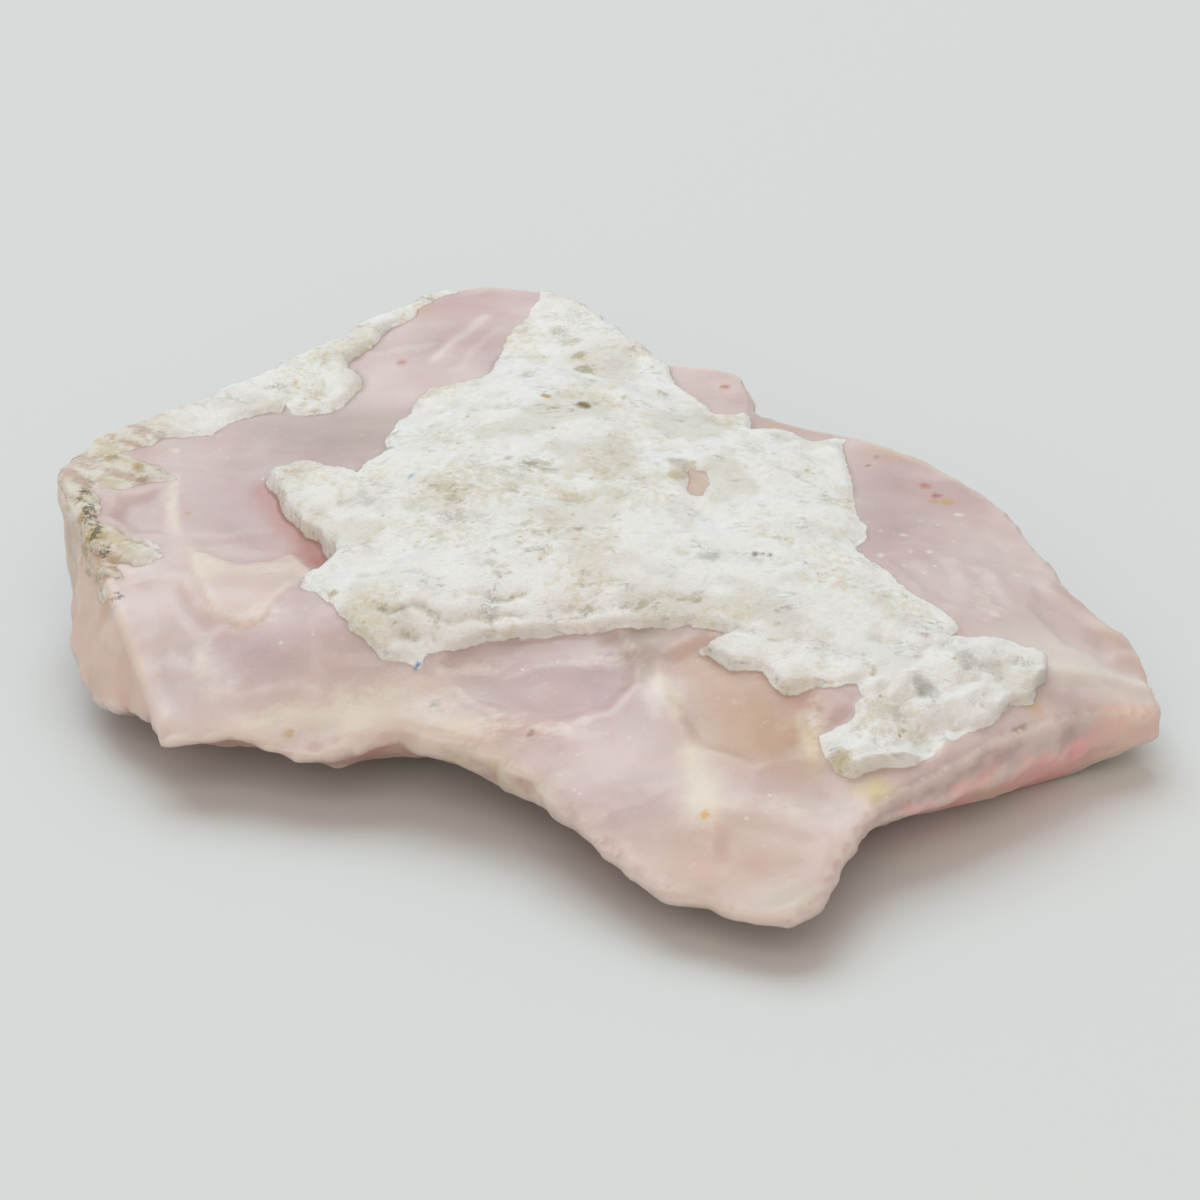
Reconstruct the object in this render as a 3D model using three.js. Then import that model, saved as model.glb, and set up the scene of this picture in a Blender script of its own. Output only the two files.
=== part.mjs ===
// A rough slab of pink opal, broken out by hand and lying on its underside: one solid stone.
// Millimetres, +Z up. X runs along the slab's long diagonal. The origin is the middle of the stone's
// bounding box, at the level of the surface that it lies on.
//
// The stone is built as a surveyor would draw it. Stations follow its broken edge, and each one carries
// the side of the stone there: crest, waist and foot. Spot heights shape the top face inside the crests.
import * as THREE from "three";
import { ImprovedNoise } from "three/addons/math/ImprovedNoise.js";

// ---- Driving dimensions -------------------------------------------------------------------------

const FACET = 1.8; // size of the facets along the edge and across the top face
const WALL_ROWS = 3; // rows of facets from crest to waist
const UNDERCUT_ROWS = 5; // rows of facets from waist to foot
const UNDERCUT_BELLY = 0.5; // how far the undercut swells out below a straight line
const BASE_INSET = 0.55; // size of the inner ring of the flat base, as a share of the foot line
const BASE_SIDES = 14; // facets around that inner ring
const FEWEST_SIDES = 6; // facets around the smallest ring of the top face

const OPAL_PINK = "#d9b3ae"; // colour of fresh pink opal
const OPAL_ROUGHNESS = 0.45;

// Unevenness of the broken surface: [wavelength, height] of each layer.
const RELIEF = [
  [17, 0.55],
  [7, 0.3],
];
const LAYER_OFFSET = 31.7; // keeps the layers' patterns apart

// ---- Survey -------------------------------------------------------------------------------------

// The edge, counter-clockwise from above. x, y, z: the crest, where the top face ends. drop, bulge: the
// waist, where the side turns under, lies that far below the crest and that far outside it.
const STATIONS = [
  // the left end, a steep wall that leans outwards as it goes down
  { x: -43.8, y: 8.3, z: 15.5, drop: 6, bulge: -0.9 },
  { x: -41.2, y: 3.0, z: 14.5, drop: 7, bulge: 1.2 },
  { x: -39.4, y: -2.6, z: 13.0, drop: 8, bulge: 2.6 },
  { x: -37.5, y: -7.3, z: 11.0, drop: 8, bulge: 2.4 },
  { x: -35.9, y: -11.2, z: 8.6, drop: 4.2, bulge: 1.2 },
  { x: -34.2, y: -15.1, z: 6.8, drop: 1.2, bulge: 0.3 },
  // the thin lip of the left front bevel, with one hanging chip
  { x: -33.1, y: -17.7, z: 6.0, drop: 0.8, bulge: 0.3 },
  { x: -30.1, y: -18.2, z: 6.3, drop: 0.8, bulge: 0.2 },
  { x: -27.0, y: -18.7, z: 6.6, drop: 0.7, bulge: 0.2 },
  { x: -22.8, y: -20.3, z: 6.0, drop: 0.8, bulge: 0.3 },
  { x: -19.0, y: -19.9, z: 7.0, drop: 1.2, bulge: 0.3 },
  { x: -15.1, y: -20.4, z: 8.0, drop: 1.4, bulge: 0.1 },
  // the hollow front, where a low broken wall shows
  { x: -11.3, y: -22.1, z: 8.0, drop: 2.0, bulge: -0.4 },
  { x: -7.5, y: -23.9, z: 7.5, drop: 2.6, bulge: -0.6 },
  { x: -4.1, y: -27.4, z: 7.0, drop: 1.6, bulge: -0.3 },
  { x: -1.5, y: -31.3, z: 6.5, drop: 1, bulge: 0.2 },
  // the front tongue
  { x: 1.6, y: -34.4, z: 5.5, drop: 1, bulge: 0.3 },
  { x: 3.5, y: -36.8, z: 5.0, drop: 0.8, bulge: 0.3 },
  { x: 7.2, y: -39.1, z: 4.6, drop: 0.8, bulge: 0.3 },
  { x: 11.1, y: -41.0, z: 4.4, drop: 0.8, bulge: 0.3 },
  { x: 13.7, y: -41.5, z: 4.6, drop: 1, bulge: 0.3 },
  { x: 16.0, y: -39.3, z: 5.2, drop: 1.4, bulge: 0.4 },
  { x: 18.2, y: -34.1, z: 6.5, drop: 1.5, bulge: 0.3 },
  // the right front side, a low wall over a shadowed undercut
  { x: 20.5, y: -29.9, z: 7.5, drop: 2, bulge: 0.5 },
  { x: 24.3, y: -27.2, z: 8.0, drop: 2.5, bulge: 0.5 },
  { x: 30.0, y: -22.3, z: 8.5, drop: 3, bulge: 0.4 },
  { x: 34.2, y: -18.9, z: 8.0, drop: 3, bulge: 0.4 },
  { x: 37.8, y: -15.8, z: 7.0, drop: 2.7, bulge: 0.5 },
  { x: 41.3, y: -14.2, z: 6.2, drop: 3.2, bulge: 0.2 },
  { x: 43.5, y: -12.5, z: 5.3, drop: 2.4, bulge: 0.2 },
  // the long curved right edge
  { x: 42.4, y: -10.0, z: 6.0, drop: 2, bulge: 0.3 },
  { x: 42.3, y: -7.8, z: 7.2, drop: 2.5, bulge: 0.4 },
  { x: 41.3, y: -5.5, z: 7.9, drop: 3, bulge: 0.4 },
  { x: 39.8, y: -4.7, z: 8.5, drop: 3, bulge: 0.6 },
  { x: 36.3, y: 0.0, z: 10.0, drop: 4, bulge: 0.9 },
  { x: 34.2, y: 5.2, z: 11.0, drop: 5, bulge: 1.0 },
  { x: 31.8, y: 10.0, z: 12.0, drop: 5, bulge: 1.2 },
  { x: 26.5, y: 16.0, z: 13.0, drop: 6, bulge: 1.4 },
  { x: 21.7, y: 18.9, z: 13.5, drop: 6, bulge: 1.4 },
  { x: 16.8, y: 21.1, z: 13.5, drop: 6, bulge: 1.0 },
  // the notch and knob behind
  { x: 13.0, y: 23.8, z: 13.5, drop: 5, bulge: 0.6 },
  { x: 12.5, y: 27.8, z: 13.5, drop: 4, bulge: 0.8 },
  { x: 11.7, y: 30.8, z: 13.7, drop: 4, bulge: 0.8 },
  { x: 9.1, y: 31.3, z: 14.2, drop: 5, bulge: 1.0 },
  { x: 4.7, y: 30.8, z: 15.0, drop: 6, bulge: 1.4 },
  // the back peak and the straight left back edge
  { x: 0.0, y: 37.6, z: 16.0, drop: 7, bulge: 1.2 },
  { x: -2.0, y: 40.5, z: 16.2, drop: 7, bulge: 1.2 },
  { x: -4.8, y: 41.8, z: 16.5, drop: 8, bulge: 1.0 },
  { x: -10.0, y: 43.1, z: 16.5, drop: 8, bulge: 0.8 },
  { x: -14.8, y: 42.0, z: 16.5, drop: 8, bulge: 1.2 },
  { x: -22.4, y: 33.8, z: 16.0, drop: 8, bulge: 1.8 },
  { x: -28.8, y: 26.1, z: 15.5, drop: 7, bulge: 2.0 },
  { x: -35.8, y: 19.8, z: 15.5, drop: 7, bulge: 1.6 },
  { x: -41.4, y: 14.0, z: 15.5, drop: 6, bulge: 0.6 },
];

// The foot line, where the underside meets the surface that the stone lies on, as [x, y], in the same
// direction as the stations. The front edges hang over well outside it.
const FOOT = [
  [-38.0, 9.0],
  [-40.0, 3.0],
  [-38.5, -1.5],
  [-34.0, -2.5],
  [-24.0, -3.5],
  [-15.0, -5.0],
  [-8.0, -10.0],
  [-1.0, -14.5],
  [7.0, -19.5],
  [15.0, -21.5],
  [24.0, -19.5],
  [31.0, -17.0],
  [37.0, -14.0],
  [36.5, -7.5],
  [30.0, 1.0],
  [25.0, 8.0],
  [19.0, 13.0],
  [11.0, 18.0],
  [6.0, 24.0],
  [-1.0, 29.0],
  [-9.0, 30.5],
  [-18.0, 24.0],
  [-28.0, 16.5],
];

// Heights on the top face, as [x, y, z].
const SPOT_HEIGHTS = {
  hollowAtLeft: [
    [-34.5, 13.8, 14.6],
    [-31.5, 7.1, 13.4],
    [-28.0, 1.0, 12.8],
    [-24.8, 16.5, 14.2],
    [-23.0, 0.5, 12.7],
    [-17.7, 24.4, 14.6],
    [-37.0, 5.0, 13.6],
  ],
  backRim: [
    [-28.5, 22.2, 15.2],
    [-8.6, 34.8, 15.9],
  ],
  ridgeBelowHollow: [
    [-35.4, -4.1, 12.4],
    [-31.2, -6.5, 12.8],
    [-24.2, -5.6, 13.2],
  ],
  leftFrontBevel: [
    [-33.7, -10.7, 10.2],
    [-28.5, -11.8, 10.8],
    [-21.4, -13.7, 11.6],
    [-30.6, -15.4, 8.4],
    [-25.1, -16.6, 8.2],
    [-19.0, -16.4, 9.0],
  ],
  crown: [
    [-24.3, 8.3, 14.4],
    [-20.0, 3.9, 15.0],
    [-14.7, 11.8, 15.6],
    [-10.3, -0.9, 15.6],
    [-4.2, 19.8, 16.3],
    [-3.2, 5.0, 16.2],
    [4.8, 1.9, 16.0],
    [1.5, -9.4, 15.4],
    [12.5, -4.8, 15.0],
    [17.9, 10.9, 14.2],
    [17.7, -11.3, 14.0],
    [9.1, -14.0, 14.4],
    [-11.5, -12.4, 14.4],
    [-16.9, -11.7, 14.0],
    [22.9, -15.1, 12.6],
  ],
  rightShoulder: [
    [22.6, -21.5, 11.0],
    [28.8, -19.0, 10.4],
    [32.0, -15.2, 10.5],
    [24.2, 5.7, 13.2],
    [28.5, -1.5, 12.4],
    [31.8, -9.7, 11.4],
    [36.9, -12.1, 9.2],
    [36.5, -14.9, 8.2],
    [26.0, -24.7, 9.0],
    [33.4, -18.0, 8.6],
  ],
  frontSlope: [
    [-9.9, -16.1, 11.0],
    [-3.0, -15.6, 12.0],
    [3.0, -15.1, 12.6],
    [-11.4, -19.4, 9.0],
    [-5.2, -21.3, 9.6],
    [6.7, -20.4, 11.2],
    [13.4, -21.8, 11.2],
    [1.5, -28.7, 8.2],
    [12.5, -28.5, 9.0],
    [17.0, -29.6, 8.0],
    [7.2, -35.4, 6.3],
    [13.0, -37.6, 6.0],
    [19.3, -25.5, 9.6],
    [20.6, -28.5, 8.2],
  ],
};

// ---- The side of the stone ----------------------------------------------------------------------

// Crest and waist of a station. Outwards is away from the middle of the stone.
function sideAt({ x, y, z, drop, bulge }) {
  const crest = new THREE.Vector3(x, y, z);
  const outwards = new THREE.Vector3(x, y, 0).normalize();
  const waist = crest.clone().addScaledVector(outwards, bulge).setZ(z - drop);
  return { crest, waist };
}

// The sides at all stations, with enough sides between them to keep the facets near FACET in size. The
// foot of each side lies on the foot line, in the same direction from the middle as its crest.
function allSides() {
  const surveyed = STATIONS.map(sideAt);
  const footLine = FOOT.map(([x, y]) => new THREE.Vector3(x, y, 0));
  return surveyed.flatMap((side, i) => {
    const next = surveyed[(i + 1) % surveyed.length];
    const steps = Math.max(1, Math.round(side.crest.distanceTo(next.crest) / FACET));
    return Array.from({ length: steps }, (_, k) => {
      const crest = side.crest.clone().lerp(next.crest, k / steps);
      const waist = side.waist.clone().lerp(next.waist, k / steps);
      return { crest, waist, foot: pointTowards(footLine, turnOf(crest)) };
    });
  });
}

// ---- The top face -------------------------------------------------------------------------------

// Solves the square system rows * answer = sums by Gaussian elimination with pivoting.
function solve(rows, sums) {
  const system = rows.map((row, i) => [...row, sums[i]]);
  const size = system.length;
  for (let column = 0; column < size; column++) {
    let pivot = column;
    for (let row = column + 1; row < size; row++) {
      if (Math.abs(system[row][column]) > Math.abs(system[pivot][column])) pivot = row;
    }
    [system[column], system[pivot]] = [system[pivot], system[column]];
    for (let row = column + 1; row < size; row++) {
      const share = system[row][column] / system[column][column];
      for (let k = column; k <= size; k++) system[row][k] -= share * system[column][k];
    }
  }
  const answer = new Array(size).fill(0);
  for (let row = size - 1; row >= 0; row--) {
    let rest = system[row][size];
    for (let k = row + 1; k < size; k++) rest -= system[row][k] * answer[k];
    answer[row] = rest / system[row][row];
  }
  return answer;
}

// A thin plate bent through all the given points: returns its height at any x, y.
function thinPlate(points) {
  const bend = (dx, dy) => {
    const square = dx * dx + dy * dy;
    return square > 0 ? square * Math.log(square) : 0;
  };
  const rows = points.map(([x, y]) => [...points.map(([px, py]) => bend(x - px, y - py)), 1, x, y]);
  rows.push([...points.map(() => 1), 0, 0, 0]);
  rows.push([...points.map(([x]) => x), 0, 0, 0]);
  rows.push([...points.map(([, y]) => y), 0, 0, 0]);
  const weights = solve(rows, [...points.map(([, , z]) => z), 0, 0, 0]);
  const [level, slopeX, slopeY] = weights.slice(points.length);
  return (x, y) => {
    const bent = points.reduce((sum, [px, py], i) => sum + weights[i] * bend(x - px, y - py), 0);
    return bent + level + slopeX * x + slopeY * y;
  };
}

// ---- Rings of points and the facets between them ------------------------------------------------

// A point's direction from the middle of the stone, as a share of a full turn.
function turnOf(point) {
  return (Math.atan2(point.y, point.x) / (2 * Math.PI) + 1) % 1;
}

// A closed loop's point in a given direction, by its distance from the middle.
function pointTowards(loop, turn) {
  const ray = new THREE.Vector2(Math.cos(2 * Math.PI * turn), Math.sin(2 * Math.PI * turn));
  for (let i = 0; i < loop.length; i++) {
    const a = loop[i];
    const b = loop[(i + 1) % loop.length];
    const sideA = ray.x * a.y - ray.y * a.x;
    const sideB = ray.x * b.y - ray.y * b.x;
    const crosses = sideA <= 0 && sideB > 0;
    if (crosses && ray.x * a.x + ray.y * a.y > 0) return a.clone().lerp(b, sideA / (sideA - sideB));
  }
  throw new Error("the loop doesn't go round the middle of the stone");
}

// The mean distance of a loop's points from the middle.
function meanRadius(loop) {
  return loop.reduce((sum, { x, y }) => sum + Math.hypot(x, y), 0) / loop.length;
}

// A smaller copy of a loop, with its points evenly spread by direction. The smaller, the rounder.
function innerRing(loop, size, count) {
  const round = meanRadius(loop);
  return Array.from({ length: count }, (_, i) => {
    const point = pointTowards(loop, i / count);
    const radius = Math.hypot(point.x, point.y);
    const scale = (size * (round + (radius - round) * size)) / radius;
    return new THREE.Vector3(point.x * scale, point.y * scale, point.z);
  });
}

// Collects the stone's points and facets.
class Skin {
  points = [];
  facets = [];

  addRing(ring) {
    return ring.map((point) => this.points.push(point) - 1);
  }

  // Facets between two rings with the same number of points, facing away from the middle.
  wall(upper, lower) {
    upper.forEach((a, i) => {
      const j = (i + 1) % upper.length;
      this.facets.push([a, lower[i], lower[j]], [a, lower[j], upper[j]]);
    });
  }

  // Facets from a ring to a smaller one inside it, which may have fewer points. They face up.
  shelf(outer, inner) {
    const outerTurns = this.turnsFrom(outer);
    const innerTurns = this.turnsFrom(inner);
    let i = 0;
    let j = 0;
    while (i < outer.length || j < inner.length) {
      const a = outer[i % outer.length];
      const b = inner[j % inner.length];
      const outerNext = i < outer.length ? outerTurns[i + 1] : Infinity;
      const innerNext = j < inner.length ? innerTurns[j + 1] : Infinity;
      if (outerNext <= innerNext) {
        this.facets.push([a, outer[(i + 1) % outer.length], b]);
        i += 1;
      } else {
        this.facets.push([a, inner[(j + 1) % inner.length], b]);
        j += 1;
      }
    }
  }

  // A ring turned so that it starts at direction 0, so that two rings can be walked together.
  startingAtZero(ring) {
    const turns = ring.map((index) => turnOf(this.points[index]));
    const first = turns.indexOf(Math.min(...turns));
    return [...ring.slice(first), ...ring.slice(0, first)];
  }

  // The ring's directions, and the first one again a full turn later.
  turnsFrom(ring) {
    const turns = ring.map((index) => turnOf(this.points[index]));
    return [...turns, turns[0] + 1];
  }

  // Closes a ring with facets to one point in the middle.
  cap(ring, middle) {
    const centre = this.points.push(middle) - 1;
    ring.forEach((a, i) => this.facets.push([a, ring[(i + 1) % ring.length], centre]));
  }

  geometry() {
    const positions = this.points.flatMap((point) => point.toArray());
    return new THREE.BufferGeometry()
      .setAttribute("position", new THREE.Float32BufferAttribute(positions, 3))
      .setIndex(this.facets.flat());
  }
}

// ---- The stone ----------------------------------------------------------------------------------

const noise = new ImprovedNoise();

// Unevenness at a point, the same on every build.
function relief({ x, y, z }) {
  return RELIEF.reduce((sum, [wavelength, height], layer) => {
    const offset = LAYER_OFFSET * (layer + 1);
    return sum + height * noise.noise(x / wavelength + offset, y / wavelength, z / wavelength - offset);
  }, 0);
}

// Rings over the top face, from the crest to the middle, on the thin plate through all the heights.
function addTop(skin, crestRing, crest) {
  const heights = thinPlate([
    ...STATIONS.map(({ x, y, z }) => [x, y, z]),
    ...Object.values(SPOT_HEIGHTS).flat(),
  ]);
  const rings = Math.round(meanRadius(crest) / FACET);
  let outer = skin.startingAtZero(crestRing);
  for (let k = 1; k < rings; k++) {
    const size = 1 - k / rings;
    const count = Math.max(FEWEST_SIDES, Math.round(crest.length * size));
    const ring = innerRing(crest, size, count);
    ring.forEach((point) => point.setZ(heights(point.x, point.y) + relief(point)));
    const inner = skin.addRing(ring);
    skin.shelf(outer, inner);
    outer = inner;
  }
  const middle = new THREE.Vector3(0, 0, heights(0, 0));
  middle.z += relief(middle);
  skin.cap(outer, middle);
}

// Rings down the side: crest to waist, then waist to foot with a slight belly. Returns the foot ring.
function addSide(skin, crestRing, sides) {
  let upper = crestRing;
  const addRow = (pointOf) => {
    const lower = skin.addRing(sides.map(pointOf));
    skin.wall(upper, lower);
    upper = lower;
  };
  const roughened = (point, amount) => {
    const outwards = new THREE.Vector3(point.x, point.y, 0).normalize();
    return point.addScaledVector(outwards, relief(point) * amount);
  };
  for (let row = 1; row <= WALL_ROWS; row++) {
    const share = row / WALL_ROWS;
    addRow(({ crest, waist }) => roughened(crest.clone().lerp(waist, share), share));
  }
  for (let row = 1; row < UNDERCUT_ROWS; row++) {
    const share = row / UNDERCUT_ROWS;
    const belly = UNDERCUT_BELLY * Math.sin(Math.PI * share);
    addRow(({ waist, foot }) => {
      const point = waist.clone().lerp(foot, share);
      return roughened(point.setZ(point.z * (1 - belly / (belly + point.z))), 1 - share);
    });
  }
  addRow(({ foot }) => foot.clone());
  return upper;
}

// The flat base, which faces down.
function addBase(skin, footRing, foot) {
  const outer = skin.startingAtZero(footRing);
  const inner = skin.addRing(innerRing(foot, BASE_INSET, BASE_SIDES));
  const firstFacet = skin.facets.length;
  skin.shelf(outer, inner);
  skin.cap(inner, new THREE.Vector3(0, 0, 0));
  skin.facets.slice(firstFacet).forEach((facet) => facet.reverse());
}

// Moves a geometry so that the middle of its bounding box's underside is the origin.
function standOnOrigin(geometry) {
  geometry.computeBoundingBox();
  const { min, max } = geometry.boundingBox;
  return geometry.translate(-(min.x + max.x) / 2, -(min.y + max.y) / 2, -min.z);
}

function makeStone() {
  const skin = new Skin();
  const sides = allSides();
  const crest = sides.map((side) => side.crest);
  const crestRing = skin.addRing(crest);
  addTop(skin, crestRing, crest);
  const footRing = addSide(skin, crestRing, sides);
  addBase(skin, footRing, sides.map((side) => side.foot));

  const geometry = standOnOrigin(skin.geometry());
  geometry.computeVertexNormals();
  const opal = new THREE.MeshStandardMaterial({
    color: OPAL_PINK,
    roughness: OPAL_ROUGHNESS,
    metalness: 0,
  });
  const stone = new THREE.Mesh(geometry, opal);
  stone.name = "opal_stone";
  return stone;
}

const specimen = new THREE.Group();
specimen.add(makeStone());

export default specimen;
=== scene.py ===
# A rough slab of pink opal with a chalky white crust, lying on a pale studio floor. It is one natural
# stone, so it is one piece.
#
# The broken outline and the main slopes come from the CAD node. This script adds the crust's grain, its
# torn edge and the step down to the opal, shell-shaped breaks, and the stains, specks and streaks.
#
# Places are (x, y) in millimetres in the frame's axes, seen from above. Heights, depths, widths, radii
# and reaches are in millimetres too. Strengths run from 0 to 1. Colours are sRGB, 0 to 255, as a level
# surface shows them in this light. Facing up is 1 on a level face, 0 on an upright one, -1 underneath.
import math

import bmesh
import bpy
import numpy as np
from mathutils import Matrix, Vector, noise


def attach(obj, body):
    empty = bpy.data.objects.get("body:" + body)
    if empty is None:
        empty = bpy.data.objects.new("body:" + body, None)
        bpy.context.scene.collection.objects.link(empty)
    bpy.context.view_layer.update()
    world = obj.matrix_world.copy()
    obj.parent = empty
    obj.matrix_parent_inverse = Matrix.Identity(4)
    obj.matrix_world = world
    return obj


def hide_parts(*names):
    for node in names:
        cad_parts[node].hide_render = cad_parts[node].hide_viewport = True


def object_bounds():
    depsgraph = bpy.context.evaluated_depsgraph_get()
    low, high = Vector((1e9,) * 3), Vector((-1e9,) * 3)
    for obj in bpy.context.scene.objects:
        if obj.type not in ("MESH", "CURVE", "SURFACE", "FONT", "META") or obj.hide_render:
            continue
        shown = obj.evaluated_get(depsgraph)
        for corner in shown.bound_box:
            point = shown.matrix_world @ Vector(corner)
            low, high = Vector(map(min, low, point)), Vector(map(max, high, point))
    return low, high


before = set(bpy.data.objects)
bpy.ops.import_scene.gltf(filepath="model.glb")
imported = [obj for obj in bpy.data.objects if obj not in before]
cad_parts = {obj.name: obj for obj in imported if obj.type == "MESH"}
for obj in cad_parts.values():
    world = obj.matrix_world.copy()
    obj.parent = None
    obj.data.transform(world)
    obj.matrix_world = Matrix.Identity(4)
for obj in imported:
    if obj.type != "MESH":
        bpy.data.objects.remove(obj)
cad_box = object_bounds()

MM = 0.001
FACE_SIZE = 0.4  # side of the faces that the stone's skin is made of
WELD = 0.02  # CAD corners closer than this are one corner
SOFTENING = 3  # rounds of smoothing that turn the CAD facets into a broken surface
WIDE_LOOK = 10  # rounds of neighbours that tell ridges and hollows
CLOSE_LOOK = 3  # rounds of neighbours that tell crumbs and the creases between them

# ---- The crust's outlines ----

# The main crust, from the back peak down its left side, along its torn lower edge and up its right side.
MAIN_CRUST = [
    # left side, down to the notch beside the lobe
    (-4.8, 43), (-4.8, 40), (-5.5, 37.5), (-6.3, 35), (-7.5, 32.5), (-8, 29.5), (-9, 26.5), (-10.2, 25.2),
    (-12.5, 23.8), (-14, 24), (-15.2, 22), (-15.5, 20), (-16.5, 18.5), (-16.8, 16), (-17.3, 13),
    (-17.2, 11), (-18.3, 9), (-19.4, 6.8),
    # the lobe that hangs over the left hollow
    (-20.5, 7.7), (-22, 8.8), (-24, 9.5), (-25.5, 9), (-26.9, 7.7), (-26.3, 6.5), (-25.5, 5), (-25, 3.5),
    (-23.8, 1.8), (-22.5, 0), (-21.5, -2), (-20.8, -3.8), (-20.5, -5.2),
    # lower left side, down to the point
    (-21.5, -6), (-23, -7), (-22.8, -8.2), (-22, -9.5), (-21, -11.5), (-20, -13), (-18.5, -14.3),
    (-17.2, -15.8), (-16, -16.6), (-14.3, -17), (-13.6, -17.4), (-13.2, -16.5),
    # lower edge
    (-11, -16.3), (-8, -15.8), (-5, -15.2), (-2, -15), (0, -14.8), (3, -14.9), (5.5, -15.1), (7, -15.2),
    (8.2, -16), (10.2, -17.3), (7.8, -18), (8.5, -18.8), (10, -19.9), (12, -20.1), (13, -21),
    (13.9, -22.2), (15.5, -22.2), (17.5, -21.8), (19.6, -21.6),
    # the crumbled end at the lower right
    (19.8, -23), (19.6, -24.5), (18.5, -25.3), (17, -26.5), (16.8, -27.8), (17.5, -29), (18.8, -29.3),
    (20, -28.6), (21.5, -28.3), (23.5, -27.8), (25, -27), (26, -25.5), (27.5, -24.5), (29, -23.5),
    (30.5, -21.8), (31.5, -20.3), (33, -19.3), (33.4, -18), (34.3, -16.8), (34.2, -15.3), (33, -14),
    (31.5, -13.3), (30, -13.8), (28.8, -14.8), (26.6, -15), (27.4, -13.9), (27, -13),
    # right side
    (25.8, -11.5), (24.5, -10.3), (23, -8.7), (21.5, -6.5), (20.3, -4.8), (20, -3.8), (21, -2), (21, 0),
    (20.6, 4), (20.6, 8), (20.3, 12), (20, 15), (20.3, 17), (19.6, 16.9),
    # the scalloped edge below the knob, and the edge up to the rim
    (18.8, 16.4), (17.6, 16.3), (16.9, 17.2), (15.5, 17.9), (13.8, 18), (12.8, 17.3), (12.3, 18.2),
    (12.8, 20), (12.5, 21.3), (11.5, 20.5), (10.5, 19.8), (9.2, 20.2), (8.8, 21.5), (8, 23.3), (7, 25),
    (6, 27), (5.5, 29), (4.8, 30), (4.5, 34), (0, 41),
]

# The band along the back left rim, with a tongue into the hollow.
RIM_CRUST = [
    (-46, 6.5), (-42.6, 7.4), (-41.4, 8.8), (-41, 9.8), (-39.5, 10), (-38.5, 10.8), (-37.2, 12),
    (-36.8, 13), (-36, 14), (-34, 14.7), (-32, 15.3), (-31, 16.8), (-29.5, 18.3), (-27.5, 19.5),
    (-26.5, 19.8), (-25.8, 22.5), (-25.3, 19.5), (-24, 19.8), (-22.5, 20.6), (-21.3, 22.5), (-20.3, 24.8),
    (-20.2, 26.3), (-21, 27), (-21.9, 27.2), (-21.2, 28.5), (-20.2, 30), (-19.3, 32), (-18.5, 34),
    (-17.3, 35.3), (-16.3, 36.6), (-16, 37.8), (-14.8, 39), (-14, 40), (-13, 40.6), (-11.5, 44), (-18, 46),
]

# Two scraps of crust in the left corner.
CORNER_CRUST = [
    (-43.4, 5), (-41, 5.5), (-38.5, 5.7), (-37, 6.8), (-35.2, 7.3), (-34.6, 7.8), (-36, 9), (-38, 9.8),
    (-40, 10), (-42, 9.4), (-43.6, 8),
]
FEATHERY_CRUST = [
    (-42.6, 5.6), (-41, 5.4), (-40.5, 3), (-39.6, 0.8), (-38.6, 0.4), (-37.2, -1), (-35.5, -2),
    (-34.6, -3.4), (-36, -3.6), (-37, -5.2), (-38.4, -6.4), (-39.6, -4), (-41, -1), (-42.4, 2.5),
]

# How the crust ends where the stone falls away.
CRUST_LIMIT = 0.25  # crust lies where the surface faces up at least this much
SLOPE_DEPTH = 6.0  # depth inside the crust's edge that facing up fully would count as
CRUST_FOOT = 11.5  # below this height the crust on slopes thins out
FOOT_THINNING = 0.3  # depth inside the edge that is lost for each millimetre below it

# Where the crust is gone and opal shows through.
CRUST_WINDOW = [
    (6.9, 2.6), (7.5, 1.6), (8.8, 2), (9.1, 4.5), (9.3, 6.9), (7.1, 7), (7, 4.5),
]

# How far the crust stands above the opal beside it, at places along its edge: x, y, height.
CRUST_STEPS = [
    (-24.5, 3, 1.2), (-21.5, -4, 1.2), (-22, -10, 0.5), (-14, -17, 0.5), (-6, -15.5, 0.5), (4, -15, 0.55),
    (10, -19, 0.5), (16, -22, 0.45), (18, -28, 0.6), (28, -24, 0.5), (34, -16, 0.4), (27, -13, 0.3),
    (22, -7, 0.25), (20.8, 5, 0.2), (20, 16, 0.3), (13, 19, 0.4), (7, 25, 0.3), (-6, 36, 0.15),
    (-12, 24, 0.25), (-17, 14, 0.3), (-30, 18, 0.35), (-20, 28, 0.3), (-38, 8, 0.2), (-37, -3, 0.2),
    (8, 4, 0.15),
]

# ---- Other relief ----

# Scars left by flakes that broke away: outline, depth.
FLAKE_SCARS = [
    # the mauve scar under the crust's lower edge
    ([(-12.8, -17.6), (-9.5, -20.8), (-5.5, -23.9), (-2, -24.2), (1, -23.4), (3, -20.5), (3.4, -17.5),
      (1, -14), (-10, -14)], 0.5),
    # the stained scar to the right of it
    ([(4.2, -17.5), (4.6, -22), (6.8, -27.8), (11.5, -30), (16.4, -28), (17.4, -24), (15, -20), (8, -16)],
     0.4),
    # the hollow of the left corner
    ([(-39, 5), (-35, 6.8), (-34.2, 3), (-34, 0), (-37, -0.6), (-39.4, 1.5)], 0.5),
    # the left end of the front bevel
    ([(-37, -6), (-32.6, -5), (-31, -9.5), (-29, -12), (-31, -15.5), (-35, -14)], 0.4),
    # two flakes off the right shoulder
    ([(22, -5), (26, -2), (31, -4), (33, -9), (28, -12), (25, -10)], 0.35),
    ([(34, -3), (38, -5), (41, -8), (40, -12), (36, -12), (33, -8)], 0.4),
    # the tip of the front tongue
    ([(8, -33), (13, -34), (17, -35), (16, -39), (12, -41), (8, -38.5)], 0.3),
]

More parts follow.
